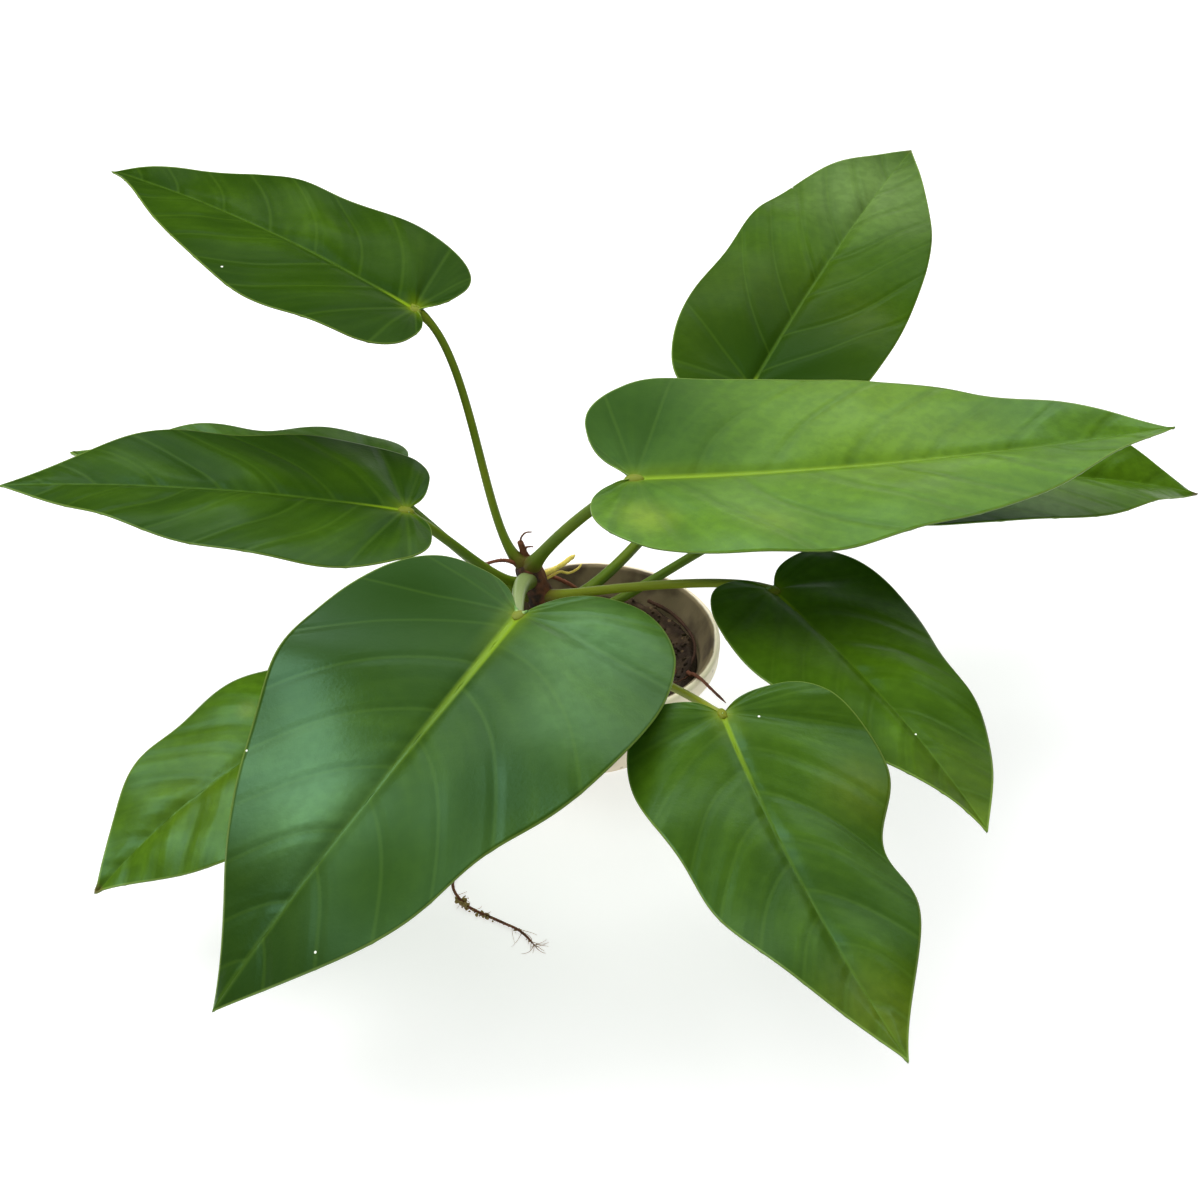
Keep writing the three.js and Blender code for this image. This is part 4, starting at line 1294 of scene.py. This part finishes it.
def pot_material(settings):
    """Pale cream, stained brown inside up to a ragged edge on the lip, with fine pits."""
    paint = Paint("pot", settings.cream, 0.55)
    clouds = paint.mottle(scale=30.0, detail=6.0, low=0.45, high=0.75)
    paint.tint(clouds, settings.stain, strength=0.28)
    axes = paint.add("SeparateXYZ", {0: paint.place})
    squares = [paint.times(axes[name], axes[name]) for name in "XY"]
    out = paint.maths("SQRT", paint.plus(*squares))
    rim_inside = POT_HIGH.x - settings.wall
    taper = (pot_wall_radius(settings, POT_HIGH.z / MM) - settings.foot_radius / MM) * MM / POT_HIGH.z
    below = paint.maths("SUBTRACT", POT_HIGH.z, axes["Z"])
    upright = paint.plus(out, paint.times(below, taper))
    ragged = paint.plus(upright, paint.times(paint.grain(scale=55.0, detail=4.0), 0.0015))
    # The stains end where the lip turns over
    inside = paint.ranged(ragged, rim_inside + 0.0018, rim_inside + 0.0026, 1.0, 0.0)
    dirty = paint.times(inside, paint.ranged(axes["Z"], 0.004, 0.01))
    patches = paint.mottle(scale=62.0, detail=7.0, low=0.42, high=0.64)
    paint.tint(dirty, paint.mixed(patches, settings.stain, settings.grime), strength=0.95)
    pits = paint.specks(scale=260.0, size=0.2, share=0.1)
    paint.tint(pits, settings.stain, strength=0.4)
    paint.link(paint.ranged(dirty, 0.0, 1.0, 0.5, 0.85), "Roughness")
    return paint.done(paint.grain(scale=240.0, detail=5.0), depth_mm=0.25)


# Stage


def make_stage(settings):
    """A pale floor, soft studio light and the camera."""
    below_pot = 0.0002
    seen_strength = 0.95
    lit_strength = 0.07
    bm = bmesh.new()
    bmesh.ops.create_grid(bm, x_segments=4, y_segments=4, size=3)
    bmesh.ops.translate(bm, verts=bm.verts, vec=(0, 0, -below_pot))
    paint = Paint("studio_floor", settings.floor_tone, 0.9, Emission_Color=(1, 1, 1, 1),
                  Emission_Strength=0.65)
    paper = paint.mottle(scale=3.0, detail=2.0, low=0.3, high=0.7)
    paint.tint(paper, [value * 0.985 for value in settings.floor_tone])
    floor = add_mesh("studio_floor", bm, [paint.done()])
    floor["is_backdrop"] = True

    scene = bpy.context.scene
    camera_data = bpy.data.cameras.new("camera")
    camera_data.lens = settings.lens
    camera_data.sensor_width = 36
    camera = add_object("camera", camera_data)
    camera.location = (settings.camera_side, -settings.camera_back, settings.camera_height)
    camera.rotation_euler = (math.pi / 2 - settings.camera_tilt, 0, 0)
    scene.camera = camera

    world = bpy.data.worlds.new("studio")
    world.use_nodes = True
    background = world.node_tree.nodes["Background"]
    background.inputs["Color"].default_value = (0.95, 0.98, 1.0, 1)
    nodes = Nodes(world.node_tree)
    seen = nodes.add("LightPath")["Is Camera Ray"]
    backdrop = nodes.add("MapRange", {0: seen, 3: lit_strength, 4: seen_strength})[0]
    world.node_tree.links.new(backdrop, background.inputs["Strength"])
    scene.world = world
    for name, place, size, power, glossy in STUDIO_LIGHTS:
        light_data = bpy.data.lights.new(name, "AREA")
        light_data.shape = "RECTANGLE"
        light_data.size, light_data.size_y = size
        light_data.energy = power
        light = add_object(name, light_data)
        light.location = place
        light.visible_glossy = glossy
        aim = LIGHT_AIM - Vector(place)
        light.rotation_euler = aim.to_track_quat("-Z", "Y").to_euler()
    scene.view_settings.view_transform = "Standard"


# Operators, panel and registration


class PLANT_OT_stage(bpy.types.Operator):
    """Build the floor, the lights and the camera"""
    bl_idname = "plant.stage"
    bl_label = "Stage"

    def execute(self, context):
        make_stage(context.scene.plant_stage)
        return {"FINISHED"}


class PLANT_OT_blades(bpy.types.Operator):
    """Build the ten blades"""
    bl_idname = "plant.blades"
    bl_label = "Blades"

    def execute(self, context):
        for leaf in LEAVES:
            make_blade(leaf, context.scene.plant_blade)
        return {"FINISHED"}


class PLANT_OT_stalks(bpy.types.Operator):
    """Build the ten stalks"""
    bl_idname = "plant.stalks"
    bl_label = "Stalks"

    def execute(self, context):
        settings = context.scene.plant_stalk
        material = stalk_material(settings)
        for leaf in LEAVES:
            make_stalk(leaf, settings, material)
        return {"FINISHED"}


class PLANT_OT_stem(bpy.types.Operator):
    """Build the stem with its dry sheaths"""
    bl_idname = "plant.stem"
    bl_label = "Stem"

    def execute(self, context):
        make_stem(context.scene.plant_stem)
        make_dry_sheath(context.scene.plant_stem)
        return {"FINISHED"}


class PLANT_OT_roots(bpy.types.Operator):
    """Build the roots that show"""
    bl_idname = "plant.roots"
    bl_label = "Roots"

    def execute(self, context):
        materials = root_materials(context.scene.plant_stem)
        for root in ROOTS:
            make_root(root, materials)
        make_soil_threads(context.scene.plant_pot, materials)
        make_root_hairs(materials)
        return {"FINISHED"}


class PLANT_OT_soil(bpy.types.Operator):
    """Build the soil and its crumbs"""
    bl_idname = "plant.soil"
    bl_label = "Soil"

    def execute(self, context):
        make_soil(context.scene.plant_pot)
        return {"FINISHED"}


class PLANT_OT_pot(bpy.types.Operator):
    """Build the pot"""
    bl_idname = "plant.pot"
    bl_label = "Pot"

    def execute(self, context):
        make_pot(context.scene.plant_pot)
        return {"FINISHED"}


OPERATORS = (PLANT_OT_stage, PLANT_OT_pot, PLANT_OT_soil, PLANT_OT_stem, PLANT_OT_roots, PLANT_OT_stalks,
             PLANT_OT_blades)
SETTINGS = {
    "plant_blade": PlantBladeSettings,
    "plant_stalk": PlantStalkSettings,
    "plant_stem": PlantStemSettings,
    "plant_pot": PlantPotSettings,
    "plant_stage": PlantStageSettings,
}


class PLANT_PT_sidebar(bpy.types.Panel):
    """Lists the pieces in the order they are built"""
    bl_idname = "PLANT_PT_sidebar"
    bl_label = "Potted Anthurium"
    bl_space_type = "VIEW_3D"
    bl_region_type = "UI"
    bl_category = "Plant"

    def draw(self, context):
        for operator in OPERATORS:
            self.layout.operator(operator.bl_idname)
        for name in SETTINGS:
            group = getattr(context.scene, name)
            box = self.layout.box()
            for key in group.__annotations__:
                box.prop(group, key)


def register():
    for name, group in SETTINGS.items():
        bpy.utils.register_class(group)
        setattr(bpy.types.Scene, name, PointerProperty(type=group))
    for operator in OPERATORS:
        bpy.utils.register_class(operator)
    bpy.utils.register_class(PLANT_PT_sidebar)


def unregister():
    bpy.utils.unregister_class(PLANT_PT_sidebar)
    for operator in reversed(OPERATORS):
        bpy.utils.unregister_class(operator)
    for name, group in SETTINGS.items():
        delattr(bpy.types.Scene, name)
        bpy.utils.unregister_class(group)


def plain(box):
    return [[float(value) for value in corner] for corner in box]


def main():
    register()
    for operator in OPERATORS:
        group, name = operator.bl_idname.split(".")
        getattr(getattr(bpy.ops, group), name)()
    {"solids": plain(SOLIDS_BOX), "dressed": plain(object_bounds())}


if __name__ == "__main__":
    main()
